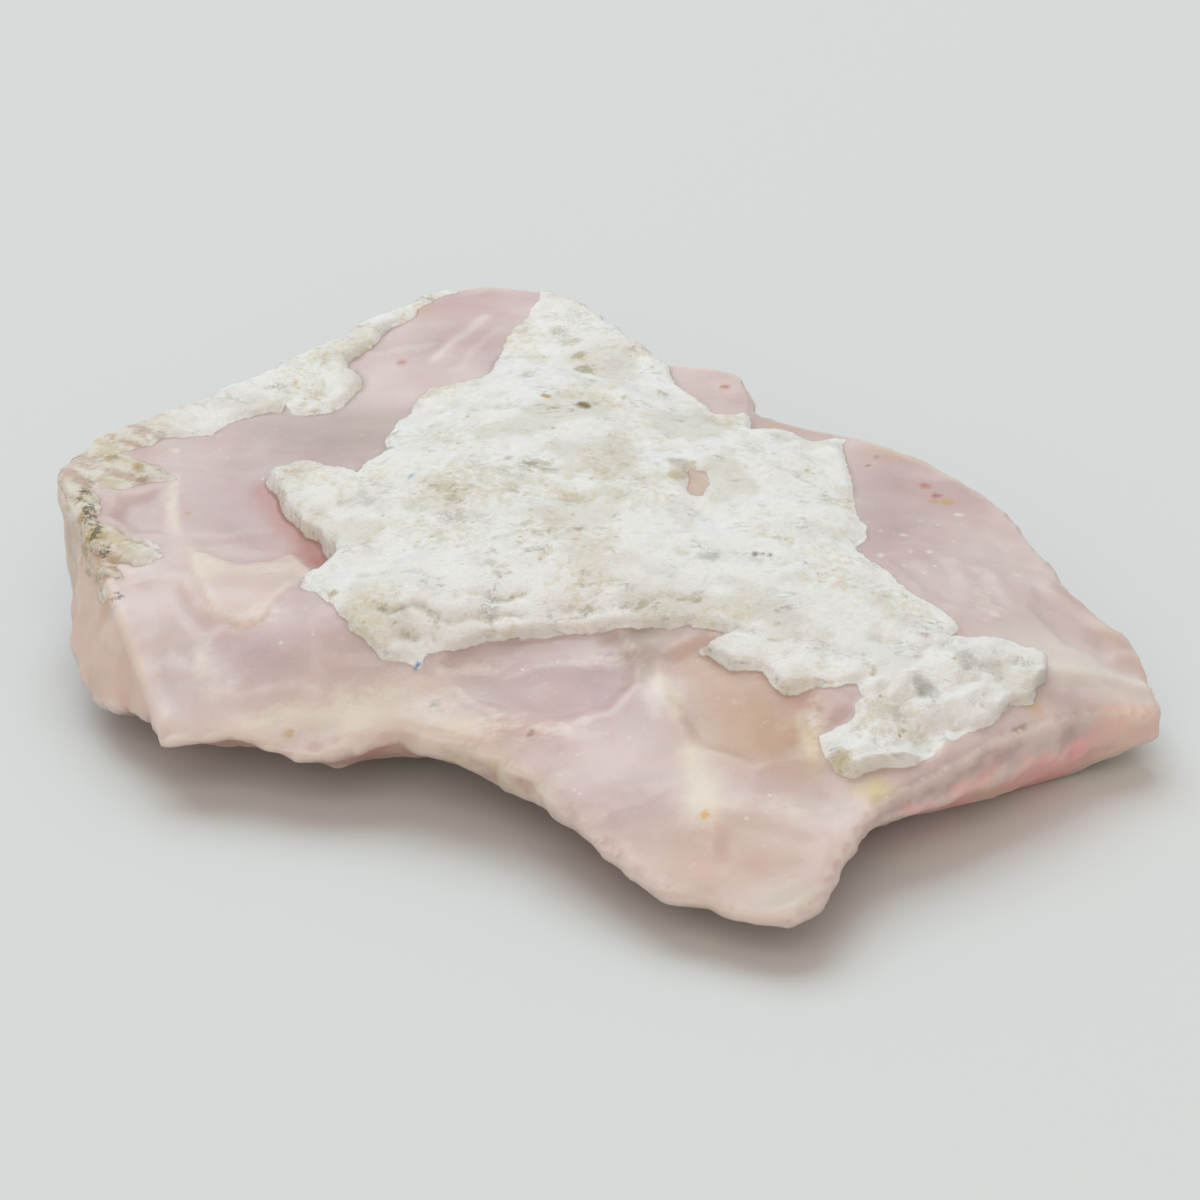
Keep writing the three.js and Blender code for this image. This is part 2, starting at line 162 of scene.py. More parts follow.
# A thin flake that is still in place stands up by this much.
SALMON_FLAKE = [
    (-32.3, -2.2), (-30.8, -2.5), (-28.5, -4.2), (-26, -3.3), (-24.3, -1.5), (-23.5, -3), (-22.3, -5.5),
    (-23, -7), (-24.5, -9.5), (-26, -12.2), (-27.5, -12.5), (-29.3, -11.5), (-30.5, -9.5), (-31.3, -7),
    (-32.2, -4.5),
]
SALMON_FLAKE_HEIGHT = 0.25

# Cracks where the crust's layers come apart above its lower edge: points along it, depth, half width.
LAYER_CRACKS = [
    ([(-16.4, -13.6), (-14, -14), (-12, -14.7), (-9.5, -14.9), (-7, -14.2), (-5.4, -14.3)], 0.38, 0.3),
    ([(-11, -13.2), (-8, -13.1), (-5.5, -12.6)], 0.3, 0.3),
    ([(-1, -14), (1.5, -13.4), (3, -13.7), (5, -13), (7.4, -13.6)], 0.3, 0.3),
    ([(-18.5, -9.4), (-15.5, -10), (-13, -11.2)], 0.25, 0.25),
    ([(-15, -15.6), (-12, -16)], 0.3, 0.3),
    ([(8.6, -16.4), (11, -17.6), (14, -18.2)], 0.25, 0.25),
]

# Grooves and creases: points along it, depth, half width.
GROOVES = [
    ([(9.5, 7.5), (11, 11), (13, 14), (16.5, 14.5)], 0.3, 0.7),
    ([(5, -7.5), (10, -8.8)], 0.3, 0.8),
    ([(-16, -11), (-9, -10.2), (-3, -8)], 0.25, 0.8),
    ([(20, -21.5), (23, -19.2), (25.5, -16.8), (28, -15)], 0.4, 0.5),
    ([(20.5, -26.6), (24, -25.2), (27, -24)], 0.5, 0.5),
    ([(22, -23), (25.5, -21.5), (28, -21.8)], 0.4, 0.5),
    ([(28.5, -19), (31.5, -17), (32.5, -15.5)], 0.35, 0.5),
    ([(30.8, -23.2), (32.4, -21.8)], 0.5, 0.35),
]

# Ridges that catch the light: points along it, height, half width.
RIDGES = [
    ([(-14, -12.6), (-8, -12.5), (-2, -12), (5, -12), (9, -13.5)], 0.12, 1.2),
    ([(-25.8, 7.5), (-23.6, 3.6), (-20.8, -1), (-19.5, -6)], 0.3, 1.1),
    ([(-14, 29), (-12, 32.5), (-10, 36)], 0.1, 1.2),
    ([(34, -15.6), (36, -14.8), (39, -13.5), (43, -12)], 0.35, 0.8),
    ([(-38.6, -6.4), (-36.8, -10.3), (-35, -14), (-33.3, -18)], 0.45, 0.8),
    ([(28, -4), (29, -8), (27, -13)], 0.2, 0.9),
]

CRUMBLED_END = [
    (19.8, -21.6), (22.5, -19), (25, -16.5), (27, -14.8), (31, -12.5), (36, -14), (35, -19), (30, -25),
    (24, -29.5), (16, -30.5), (15.5, -26.5),
]

# Lumps in the crumbled end, and hollows with a negative height: x, y, reach along x and y, height.
CRUMBLED_LUMPS = [
    (24.2, -25.8, 2.2, 1.8, -1), (23.6, -28.2, 3, 0.9, 0.6), (19.2, -27.6, 1.8, 2, 0.5),
    (22.2, -21.8, 2.6, 2.4, 0.5), (33.6, -16.8, 2.2, 2.2, 0.7), (27.4, -24.2, 1.2, 0.8, -0.6),
    (29.5, -20.5, 3, 2, 0.3), (31.8, -16.3, 1.5, 0.7, -0.4), (21.8, -16.8, 1.8, 0.7, -0.4),
]

FEATHER_DIRECTION = np.array((0.86, -0.51, 0))  # the frayed corner crust's streaks run this way
FEATHER_STRETCH = 5.0  # and are this many times as long as they are wide
FEATHER_REACH = 0.5  # and how far they may run out past its outline
FOLD_DIRECTION = np.array((0.85, 0.53, 0))  # the crumbled end's folds run this way
FOLD_STRETCH = 2.2  # and are this many times as long as they are wide

# Heights of the relief whose noise is not used as it is.
CRUMBS = 0.42
PITS = 0.12
FOLDS = 1.2
TOP_CHIPS = 0.06
SIDE_CHIPS = 0.3  # the sides broke more roughly than the top
ROUGH_BACK = 0.5
SIDE_CRUST = 0.25  # thickness of the crust on the sides
SIDE_GROWTH = 0.25  # makes up for what the smoothing takes off the sides

# How the parts of the relief meet.
STEP_ABOVE = 0.4  # share of a step by which the crust is raised; the opal is lowered by the rest
STEP_REACH = 3.5  # the lowered opal rises again over about this distance
SCAR_SLOPE = 1.6  # width of the slope just inside a scar's rim
CRUST_ROUNDING = (-0.25, 0.35)  # the crust's edge rises between these depths inside it
TOP_STARTS = (0.1, 0.5)  # side turns into top where the surface faces up this much
UNDERCUT_ENDS = (-0.3, 0.1)  # and underside turns into side
RELIEF_STARTS = (0.2, 2.5)  # relief fades in between these heights, so that the foot stays flat
BACK_STARTS = (4, 14)  # the back's rougher side fades in between these places along y

# Noise, by name: height, wavelength (or one each for x, y and z), number of layers, each half as coarse
# as the one before, and the place in the endless noise.
FIELDS = {
    # outlines
    "torn edge x": (0.4, 2.6, 2, 11.3), "torn edge y": (0.4, 2.6, 2, 18.3),
    "frayed edge x": (0.15, 0.8, 2, 3.1), "frayed edge y": (0.15, 0.8, 2, 8.1),
    "crust on slopes": (2, 3, 4, 37), "feathers": (1.1, 1.4, 3, 17.7),
    # relief of the crust
    "crust swell": (0.5, 8, 2, 4.7), "crumbs": (1, 4.2, 4, 21.9), "pits": (1, 2.1, 2, 33.3),
    "pitted places": (1, 9, 1, 51), "folds": (1, 3.2, 4, 8.8), "open cracks": (1, 6, 3, 41),
    # relief of the opal
    "break bend": (3, 9, 1, 2.2), "opal swell": (0.16, 5, 2, 61), "ripples": (0.03, 1.3, 2, 71),
    "splits": (0.3, (5, 5, 3), 4, 81), "rough back": (1, (8.5714, 8.5714, 6), 3, 85),
    # colours of the opal
    "clouds": (1, 9, 3, 91), "haze": (1, (6.5, 2.6, 2.6), 4, 161),
    "side streaks": (1, (2.8, 2.8, 4.6667), 4, 101), "long streaks": (1, (6.4, 6.4, 1.6), 3, 105),
    "mottling": (1.6, 4, 3, 111), "rough wall": (1, 1.6, 3, 107), "pale underside": (1, 9, 4, 121),
    "tan underside": (1, 6, 3, 131),
    # colours of the crust
    "tan crust": (1, 6, 4, 141), "grey crust": (1, 4, 4, 151), "yellowing": (1, 7, 3, 171),
}

# Bowls that a break leaves, by name: height, size, place in the endless noise.
BOWLS = {
    "breaks": (0.6, 10, 5.5),
    "chips": (1, 4.2, 15.5),
    "small chips": (0.16, 2.4, 25.5),
}

# ---- Colours ----

OPAL_PINK = (206, 185, 182)
CRUST_WHITE = (254, 255, 252)
LIGHT_LEVEL = 1.12  # the light is this much brighter than one that shows colours as they are
ROSE_BAND_TOP = (6.6, 5)  # the rose band at the right front fades in between these heights
RIND = 1.2  # thickness of the pale rind along the foot
RIND_MORE_LEFT = 1.4  # how much thicker it is at the left end
RIND_LESS_RIGHT = 0.75  # and how much thinner at the right front
FAINTEST_STAIN = 0.02
COLOURS = {
    "soot": (86, 78, 50), "mauve": (186, 164, 163), "deep mauve": (176, 150, 150),
    "grey brown": (183, 168, 163), "rose": (186, 148, 144), "red": (188, 128, 114),
    "salmon": (214, 195, 185), "peach": (203, 174, 156), "orange": (191, 157, 126),
    "ochre": (192, 166, 118), "cream": (222, 212, 194), "bloom": (221, 209, 204), "white": (226, 222, 215),
    "tan": (210, 199, 167), "olive": (167, 159, 122), "brown": (150, 128, 98), "dark": (98, 88, 70),
    "grey": (196, 197, 189), "green": (186, 188, 166), "blue": (96, 150, 196), "slate": (92, 112, 128),
    "deep red": (168, 98, 84), "lilac": (199, 184, 187), "pale lilac": (214, 202, 201),
    "glow": (236, 202, 184), "rose red": (246, 187, 185), "warm wall": (232, 208, 192),
    "chalk": (240, 235, 222), "pale flake": (224, 215, 205), "mustard": (196, 174, 100),
    "amber": (208, 164, 82), "umber": (128, 112, 66), "yellow": (216, 198, 134),
}

# Areas of the opal with a clear boundary: outline, colour, strength, width of the boundary.
OPAL_AREAS = [
    # the steep left wall, outside the ridge that comes down from the corner
    ([(-46, 8), (-42.4, 5.5), (-41.2, 2), (-40.4, -2), (-39.2, -5.5), (-38, -7.5), (-36.2, -11),
      (-34.8, -14.5), (-33.4, -18), (-35, -24), (-48, -20)], "warm wall", 0.75, 0.7),
    # the pale left end of the front bevel
    ([(-38, -7.4), (-36.2, -11), (-34.8, -14.5), (-33.4, -18.4), (-30, -20), (-27, -19), (-28, -15.5),
      (-30.5, -12.5), (-32.5, -8), (-34.5, -6.4)], "pale lilac", 0.8, 1.2),
    # the very tip of the left corner
    ([(-46, 3), (-46, 10), (-41.4, 9.6), (-40.6, 5.2), (-41.8, 0)], "cream", 0.75, 1.2),
    # the stained floor of the scar on the tongue
    ([(6, -16.5), (5.4, -19.5), (7.4, -21.5), (9, -27.4), (12, -29), (15.6, -27), (16.6, -23), (14, -19),
      (9.5, -16.6)], "orange", 0.5, 3),
    # the rough lower edge left of the tongue
    ([(-19, -19.4), (-15, -20), (-12, -21), (-9, -23), (-5.6, -26), (-3, -29.5), (-4, -32), (-12, -27),
      (-20, -24)], "cream", 0.5, 0.9),
]

# Soft patches of colour in the opal, with a few of painted light and painted shade: x, y, reach along x,
# reach along y, colour, strength.
OPAL_PATCHES = [
    (-20, 14, 6, 8, "grey brown", 0.9), (-26, 17, 5, 4, "grey brown", 0.6), (-29, 6, 7, 6, "mauve", 0.75),
    # (-23, 0) rose is painted shade under the crust lobe's overhanging edge
    (-23, 0, 3, 6, "rose", 0.55), (-37, 3, 3, 3, "rose", 0.3), (-38, 11, 2.5, 1.5, "rose", 0.5),
    (-12, 33, 5, 7, "mauve", 0.35), (-13, 38, 4, 2, "red", 0.25), (-16, 37.8, 1, 1, "ochre", 0.7),
    (-9, 29, 2, 4, "deep mauve", 0.45), (23.5, -2, 3, 9, "deep mauve", 0.4), (24, 8, 3.5, 7, "mauve", 0.7),
    (29, -6, 5, 8, "lilac", 0.6), (31, 3, 4, 5, "bloom", 0.35), (25, 15, 4, 1.5, "orange", 0.5),
    # (41.6, -14.5) glow is a painted glow; (37, -13) white and (30, -6) bloom are painted light on slopes
    # facing away from the key light
    (41.6, -14.5, 2.2, 3, "glow", 0.25), (37, -13, 5, 3, "white", 0.85), (30, -6, 7, 8, "bloom", 0.3),
    (38.5, -4, 1.5, 1.5, "red", 0.3), (40.5, -8, 1.2, 2.5, "orange", 0.35),
    (33.2, -19.8, 0.7, 0.9, "amber", 0.5), (27, -21, 6, 4, "mauve", 0.3),
    (20.3, -30.6, 1.5, 1.3, "yellow", 0.75), (29, 8, 3, 3, "rose", 0.35),
    # (3.5, -17) brown is painted shade below the crust's overhanging lower edge
    (-4, -19, 7, 2.6, "deep mauve", 0.75), (3.5, -17, 1.6, 2, "brown", 0.55),
    (-4, -22.5, 5, 1.2, "rose", 0.5), (11, -25, 5, 4.5, "orange", 0.75), (13.5, -27, 3.5, 3, "orange", 0.5),
    (8, -20, 4, 2.5, "peach", 0.6), (16, -23, 2.5, 1.2, "red", 0.35), (17, -25, 1.2, 2.5, "rose", 0.35),
    (9, -36.5, 9, 3, "peach", 0.6), (7.4, -33, 1.3, 1.6, "cream", 0.8), (1, -29, 4, 3, "bloom", 0.4),
    (15, -35, 3, 3, "bloom", 0.4), (14, -41.4, 2.6, 1.5, "green", 0.75), (10, -38.4, 7, 2.6, "peach", 0.6),
    (-29, -8, 4, 4, "salmon", 0.3), (-27, -14, 8, 2.5, "lilac", 0.4), (-34, -10, 3, 5, "salmon", 0.45),
    (-15, -18.5, 4, 1.5, "salmon", 0.5), (-20, -19.5, 10, 1.4, "cream", 0.7),
    (-8, -23.5, 4, 1.6, "peach", 0.5), (-10, -22.5, 2, 1, "cream", 0.6), (8.2, 4.5, 2.5, 5, "orange", 0.55),
    (8.2, 4.5, 2.5, 5, "cream", 0.3), (4.6, -20.8, 1.4, 1.9, "white", 0.85),
    (-5, -24.2, 1.1, 0.7, "red", 0.45), (-3, -26, 0.7, 0.6, "rose", 0.3), (9, 26, 3, 3, "salmon", 0.35),
    (5.6, -22.6, 0.7, 1, "yellow", 0.5), (16, -26.4, 0.6, 2.4, "yellow", 0.55),
    (15, 19, 3, 1.5, "peach", 0.5),
]

# Streaks in the opal, with painted highlights along ridges and painted shade under edges: points along it,
# half width, colour, strength.
OPAL_STREAKS = [
    ([(-34.7, 8), (-34.2, 5), (-33.8, 2), (-33.6, 0.6)], 0.35, "cream", 0.8),
    ([(-32, -2), (-31.6, -4), (-30.5, -6.5)], 0.6, "cream", 0.7),
    ([(-31, -3), (-29.5, -5.5), (-27, -5.8), (-25, -5), (-23.5, -3)], 0.6, "cream", 0.45),
    ([(-33, 0), (-33, -3), (-32.5, -5)], 0.7, "salmon", 0.5),
    ([(-31.5, -7), (-30, -10.5), (-28, -12.6), (-26, -12.3)], 0.25, "cream", 0.5),
    # painted highlight along the ridge
    ([(-14, 29), (-12, 32.5), (-10, 36)], 0.5, "bloom", 0.7),
    ([(-12, 27), (-10.5, 30.5), (-8.5, 34)], 0.4, "bloom", 0.35),
    # painted highlight along the ridge
    ([(-38.8, -6.4), (-36.8, -10.3), (-35, -14), (-33.4, -17.8)], 0.5, "bloom", 0.3),
    # these two brown lines are painted shade below the crust's overhanging lower edge
    ([(2, -12), (3, -16), (3.6, -18.6), (2.6, -20.4)], 0.9, "brown", 0.3),
    ([(0.5, -15.6), (3.4, -15.4), (6.5, -15.8)], 0.5, "brown", 0.4),
    ([(-41.6, 5), (-41, 1.5), (-40, -2), (-38.9, -5.5), (-38.4, -7.4)], 0.5, "ochre", 0.7),
    ([(-31, -13.5), (-29.5, -16), (-29, -17.4)], 0.5, "bloom", 0.6),
    ([(-27, -19.3), (-24, -18.7), (-21, -19.4), (-19, -18.2)], 0.35, "cream", 0.8),
    ([(-28, -17.7), (-24.5, -17), (-21.5, -17.5)], 0.3, "bloom", 0.5),
    ([(-12, -17.9), (-10, -17.4), (-8, -17.8)], 0.3, "bloom", 0.6),
    ([(-7, -18.2), (-4.5, -17.5), (-1, -17.9)], 0.25, "bloom", 0.4),
    ([(-5.5, -24), (-2, -24.2), (1, -23.5), (3, -20.5)], 0.25, "bloom", 0.45),
    ([(4.9, -20), (5.4, -22), (5.8, -24)], 0.6, "cream", 0.75),
    ([(3.6, -21), (4.2, -24)], 0.5, "bloom", 0.55),
    ([(7, -28), (7.6, -31), (8.2, -33.4)], 1, "cream", 0.8),
    ([(14.5, -33.5), (17, -34.5), (18, -33)], 0.6, "bloom", 0.6),
    ([(15.3, -24), (15.8, -28)], 0.4, "cream", 0.45),
    # painted highlight along the ridge
    ([(28, -4), (29, -8), (27.5, -12.5)], 0.8, "bloom", 0.45),
    # painted highlight along the right corner's ridge
    ([(34.5, -15.4), (36.5, -14.6), (39, -13.2), (43, -11.7)], 0.8, "white", 0.7),
    ([(36, -13), (39, -11.5), (41.5, -9)], 0.35, "bloom", 0.5),
    ([(23, 16.5), (26, 14.5), (29, 11.5)], 0.5, "cream", 0.5),
    ([(31.3, -22.6), (32.3, -21.7)], 0.2, "brown", 0.7),
    # painted shade, red and deep red, under the crust lobe's overhanging edge
    ([(-26.9, 6.5), (-25.3, 3), (-23, -0.5), (-21.4, -4)], 1.3, "red", 0.65),
    ([(-23.5, -1), (-21.8, -3), (-21.2, -5)], 0.7, "deep red", 0.6),
]

# Stains in the crust, with a few marks of painted shade in its cracks: x, y, radius, colour, strength.
CRUST_STAINS = [
    (-41.4, 3, 0.6, "mustard", 0.7), (-41, 1, 0.6, "mustard", 0.7), (-40.4, -1.5, 0.6, "mustard", 0.7),
    (-39.7, -4, 0.6, "mustard", 0.7), (-39, -6, 0.5, "mustard", 0.6), (-40.6, 10, 1, "mustard", 0.4),
    (-10, 3, 5.5, "tan", 0.5), (-11.5, -4, 4, "tan", 0.45), (-12, 12, 4, "tan", 0.4),
    (1, 7, 4, "tan", 0.45), (-4, -5, 4, "tan", 0.4), (-5, 6, 2.3, "olive", 0.55),
    (-5.4, 6.6, 0.9, "olive", 0.8), (-1, 17.3, 1.2, "olive", 0.5), (-1, 17.3, 0.8, "umber", 1),
    (-4.2, 19.3, 0.6, "amber", 1), (6.2, 5, 0.9, "tan", 0.9), (6, 7.4, 1, "tan", 0.8),
    (6.3, 4, 0.5, "brown", 0.4), (-3.6, 17, 0.7, "green", 0.7), (-3.8, 13, 0.45, "ochre", 0.6),
    (-1, 26, 1.1, "olive", 0.75), (-1.6, 28.6, 0.9, "olive", 0.7), (-0.4, 23.6, 0.9, "brown", 0.45),
    (-2.4, 31, 1, "tan", 0.7), (5.4, 22.4, 0.9, "olive", 0.6), (6.8, 17, 0.6, "brown", 0.5),
    (6.4, 19, 0.7, "olive", 0.4), (7.5, 12, 0.7, "ochre", 0.45), (-17.6, 10.6, 0.8, "olive", 0.8),
    (-4.5, -5.3, 0.7, "brown", 0.55), (-1.5, -4.8, 0.6, "brown", 0.65), (-9, -3.6, 0.8, "ochre", 0.5),
    (-7.5, -10.5, 1.1, "olive", 0.5), (-6, -7, 0.9, "ochre", 0.45), (-8.6, -9.6, 0.8, "grey", 0.6),
    (-16.4, 3.3, 0.5, "olive", 0.5), (-13.6, 3.2, 0.6, "olive", 0.5), (-7.2, 7.2, 0.4, "brown", 0.6),
    (-6.8, 2.2, 0.5, "ochre", 0.6), (-11.5, 0.3, 0.35, "brown", 0.6), (-2, 0.8, 1.4, "tan", 0.6),
    (0.4, 5, 1.8, "tan", 0.6), (1, 9, 1.5, "tan", 0.5), (-6, 24, 1.2, "grey", 0.6),
    (-3.6, 33, 1.5, "grey", 0.6), (-11, -2.2, 1.4, "grey", 0.6), (-18.8, 1.6, 1.4, "grey", 0.55),
    (8.5, -8.6, 1.3, "grey", 0.7), (12.3, -7.8, 0.38, "dark", 0.7), (12.9, -7.6, 0.34, "dark", 0.6),
    (13.5, -7.4, 0.4, "dark", 0.7), (13.6, -8.1, 0.3, "brown", 0.8), (13.6, -16.4, 0.45, "brown", 0.5),
    (15.6, -16.2, 0.35, "brown", 0.4), (-20.6, -11, 0.6, "ochre", 0.7), (-19.6, -9, 0.5, "olive", 0.4),
    (-24.6, 7.4, 0.8, "ochre", 0.5), (-22.6, 7.8, 0.5, "ochre", 0.4), (-25, 4.6, 0.8, "ochre", 0.5),
    (-37.4, 8.6, 0.7, "ochre", 0.8), (-36.8, 7, 0.8, "brown", 0.6), (-39.6, 9.6, 0.9, "ochre", 0.6),
    (-39.8, 11.6, 1, "ochre", 0.4), (-39.4, -1.6, 0.7, "ochre", 0.8), (-38.2, -4.4, 0.9, "ochre", 0.8),
    (-36.6, -1.6, 0.8, "tan", 0.7), (-14.8, 36.6, 0.8, "ochre", 0.7), (-17, 34.6, 0.6, "ochre", 0.6),
    (-19.4, 30.4, 0.9, "tan", 0.7), (-23.5, 22.5, 1, "tan", 0.6), (-22.4, 20.8, 0.5, "brown", 0.4),
    (7, 6.6, 1.7, "tan", 0.7), (6.4, 7.6, 1, "grey", 0.8), (5.6, 0.8, 0.5, "ochre", 0.5),
    (12.6, 11.2, 1.4, "grey", 0.5), (20.6, -20.4, 1, "olive", 0.5), (17.8, -28.6, 0.9, "tan", 0.8),
    (22.6, -24.2, 1, "grey", 0.6), (24.6, -21.6, 1.1, "grey", 0.8), (32.8, -16.6, 0.9, "olive", 0.5),
    (28, -18.4, 1.3, "grey", 0.6), (24.8, -15.9, 0.6, "rose", 0.6), (20.6, -26.8, 0.8, "olive", 0.4),
    # the three marks on the layer cracks are painted shade in the cracks
    (-12.6, -14.9, 0.7, "olive", 0.5), (-8.4, -14.7, 0.8, "olive", 0.5), (3, -13.7, 0.8, "brown", 0.4),
    (-2, 36, 1.6, "grey", 0.4),
]

# Specks: x, y, radius, colour.
SPECKS = [
    (-14.9, 4.4, 0.26, "blue"), (-17, 2.4, 0.16, "blue"), (-13.8, -17.3, 0.18, "blue"),
    (-12.4, -20.2, 0.28, "slate"), (7.8, -34.1, 0.42, "amber"), (26.7, 9.7, 0.45, "red"),
    (27.5, 8.2, 0.4, "deep red"), (28.3, 7.3, 0.6, "ochre"), (27.2, 7.2, 0.35, "orange"),
    (22.2, 12.3, 0.22, "brown"), (23, 14, 0.22, "brown"), (-5, -24.2, 0.3, "brown"),
    (-23.5, -20.4, 0.36, "ochre"), (-11, -23.2, 0.3, "tan"), (24.3, -0.6, 0.3, "white"),
    (22.2, -4.8, 0.26, "white"), (29.2, 5.4, 0.32, "white"), (33.3, -3, 0.34, "white"),
    (30.8, -10.5, 0.36, "white"), (26.2, -2.6, 0.22, "white"), (-34.7, 12, 0.35, "cream"),
    (-33, 3.4, 0.3, "orange"), (10.8, 26.6, 0.4, "red"), (-16.8, 29, 0.4, "red"),
]

# Black soot in the left corner: x, y, reach along x, reach along y.
SOOT = [
    (-41.2, 4, 0.6, 1.4), (-40.7, 1.6, 0.7, 1.8), (-39.9, -1, 0.6, 1.6), (-38.9, -3, 0.5, 0.9),
    (-37.6, -7.6, 0.7, 0.5),
]

# Where the opal has ragged chalky flecks: x, y, reach along x, reach along y.
CHALKY = [
    (-18, -18.4, 6, 1.8), (-12, -20.4, 4, 1.8), (-8, -23, 3, 1.8), (-24, -19, 5, 1.3), (-29, -17, 3, 1),
    (4.8, -21, 1.6, 2.2), (7.5, -31.6, 1.6, 2.6), (-30.4, -4, 2.4, 2.2), (-26.4, -5, 4, 1.6),
    (-37, -4, 2.6, 3), (-41.4, 5, 2, 5), (-34.2, 4.4, 0.6, 4.4), (-26, -11.6, 2.4, 1.4),
    (36, -13.6, 4, 1.6), (30, -8, 1.6, 5), (0, -17.4, 4, 1), (-9, -17.4, 4, 0.8), (14, -33, 4, 1.2),
    (-3, -24.4, 4, 1), (16.2, -25, 0.8, 3.5), (-30.5, -14.5, 1.2, 3),
]

# Where the opal has small white freckles.
FRECKLED = [
    (28, -3, 6, 9), (31, -10, 6, 5), (24, 3, 3, 6), (1, -29, 4, 3), (-26, -13, 6, 3), (-28, 9, 4, 5),
    (-6, -18.5, 6, 1.6), (12, -33, 5, 3),
]

# ---- Helpers ----


def ramp(low, high, value):
    """0 at low and 1 at high, smooth between. Low can be the larger one."""
    t = np.clip((value - low) / (high - low), 0, 1)
    return t * t * (3.0 - 2.0 * t)


def pigment(colour):
    """The linear pigment that shows as an sRGB colour on a level surface in this light."""
    c = np.array(colour, float) / 255.0
    return np.where(c <= 0.04045, c / 12.92, ((c + 0.055) / 1.055) ** 2.4) / LIGHT_LEVEL


def field(points, name):
    """Named smooth noise, from about minus half its height to plus half its height."""
    height, wavelength, layers, place = FIELDS[name]
    at = points / wavelength + place
    return height * np.array([noise.fractal(p, 1, 2, layers) for p in at.tolist()])


def lumps(points, name):
    """Named rounded lumps, 0 in the sharp creases between them and about 1 on top."""
    height, wavelength, layers, place = FIELDS[name]
    at = points / wavelength + place
    return height * np.array([noise.turbulence(p, layers, True) for p in at.tolist()])


def bowls(points, name):
    """Named bowls that meet in sharp ridges, low in the middle and high at the ridges."""
    height, size, place = BOWLS[name]
    at = points / size + place
    distance = np.array([noise.voronoi(p)[0][0] for p in at.tolist()])
    return height * (distance**2 - 0.25)


def drawn_out(points, direction, stretch):
    """Points squeezed along a direction, so that noise there comes out this much longer."""
    along = points @ direction
    return points - (1 - 1 / stretch) * along[:, None] * direction


def distance_to_line(plan, line):
    """Distance from each plan position to an open line."""
    nearest = np.full(len(plan), np.inf)
    for start, end in zip(np.array(line[:-1], float), np.array(line[1:], float)):
        along = end - start
        share = np.clip((plan - start) @ along / (along @ along), 0, 1)
        nearest = np.minimum(nearest, np.linalg.norm(plan - start - share[:, None] * along, axis=1))
    return nearest


def depth_inside(plan, outline):
    """Distance from each plan position to a closed outline, negative outside it."""
    inside = np.zeros(len(plan), bool)
    for (x0, y0), (x1, y1) in zip(outline, outline[1:] + outline[:1]):
        if y0 != y1:
            crossing = x0 + (plan[:, 1] - y0) * (x1 - x0) / (y1 - y0)
            inside ^= ((y0 > plan[:, 1]) != (y1 > plan[:, 1])) & (plan[:, 0] < crossing)
    distance = distance_to_line(plan, outline + outline[:1])
    return np.where(inside, distance, -distance)


def by_line(plan, line, half_width):
    """1 on an open line, falling smoothly to 0 beside it."""
    return np.exp(-((distance_to_line(plan, line) / half_width) ** 2))


def by_middle(plan, x, y, reach_x, reach_y):
    """1 in the middle of an oval, falling smoothly to 0 outside it."""
    return np.exp(-(((plan - (x, y)) / (reach_x, reach_y)) ** 2).sum(axis=1))


def paint(base, name, weight):
    """Moves each colour towards a named one, by its weight."""
    base += (pigment(COLOURS[name]) - base) * np.clip(weight, 0, 1)[:, None]


# ---- Shape ----


def add_object(name, data):
    """A new object in the scene."""
    made = bpy.data.objects.new(name, data)
    bpy.context.scene.collection.objects.link(made)
    return made


def even_skin():
    """The CAD stone as a closed skin of small even faces, with the CAD facets smoothed away."""
    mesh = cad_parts["opal_stone"].data.copy()
    skin = bmesh.new()
    skin.from_mesh(mesh)
    bmesh.ops.remove_doubles(skin, verts=skin.verts, dist=WELD * MM)
    skin.to_mesh(mesh)
    skin.free()
    stone = add_object("rough_opal", mesh)
    even = stone.modifiers.new("even", "REMESH")
    even.mode = "VOXEL"
    even.voxel_size = FACE_SIZE * MM
    soften = stone.modifiers.new("soften", "SMOOTH")
    soften.factor = 0.5
    soften.iterations = SOFTENING
    shown = stone.evaluated_get(bpy.context.evaluated_depsgraph_get())
    stone.data = bpy.data.meshes.new_from_object(shown)
    stone.modifiers.clear()
    stone.data.name = "rough_opal"
    return stone


def read_skin(mesh):
    """Places in millimetres and unit normals of the skin's corners."""
    places = np.empty(len(mesh.vertices) * 3)
    mesh.vertices.foreach_get("co", places)
    normals = np.empty(len(mesh.vertices) * 3)
    mesh.vertices.foreach_get("normal", normals)
    return places.reshape(-1, 3) / MM, normals.reshape(-1, 3)


def ragged(points):
    """Plan positions shifted a little, so that outlines come out ragged."""
    plan = points[:, :2].copy()
    flat = points * (1, 1, 0)
    for axis, letter in enumerate("xy"):
        plan[:, axis] += field(flat, "torn edge " + letter)
        plan[:, axis] += field(flat, "frayed edge " + letter)
    return plan


def feathering(points):
    """Streaks that run out of the left corner and fray the crust there."""
    return field(drawn_out(points, FEATHER_DIRECTION, FEATHER_STRETCH), "feathers")


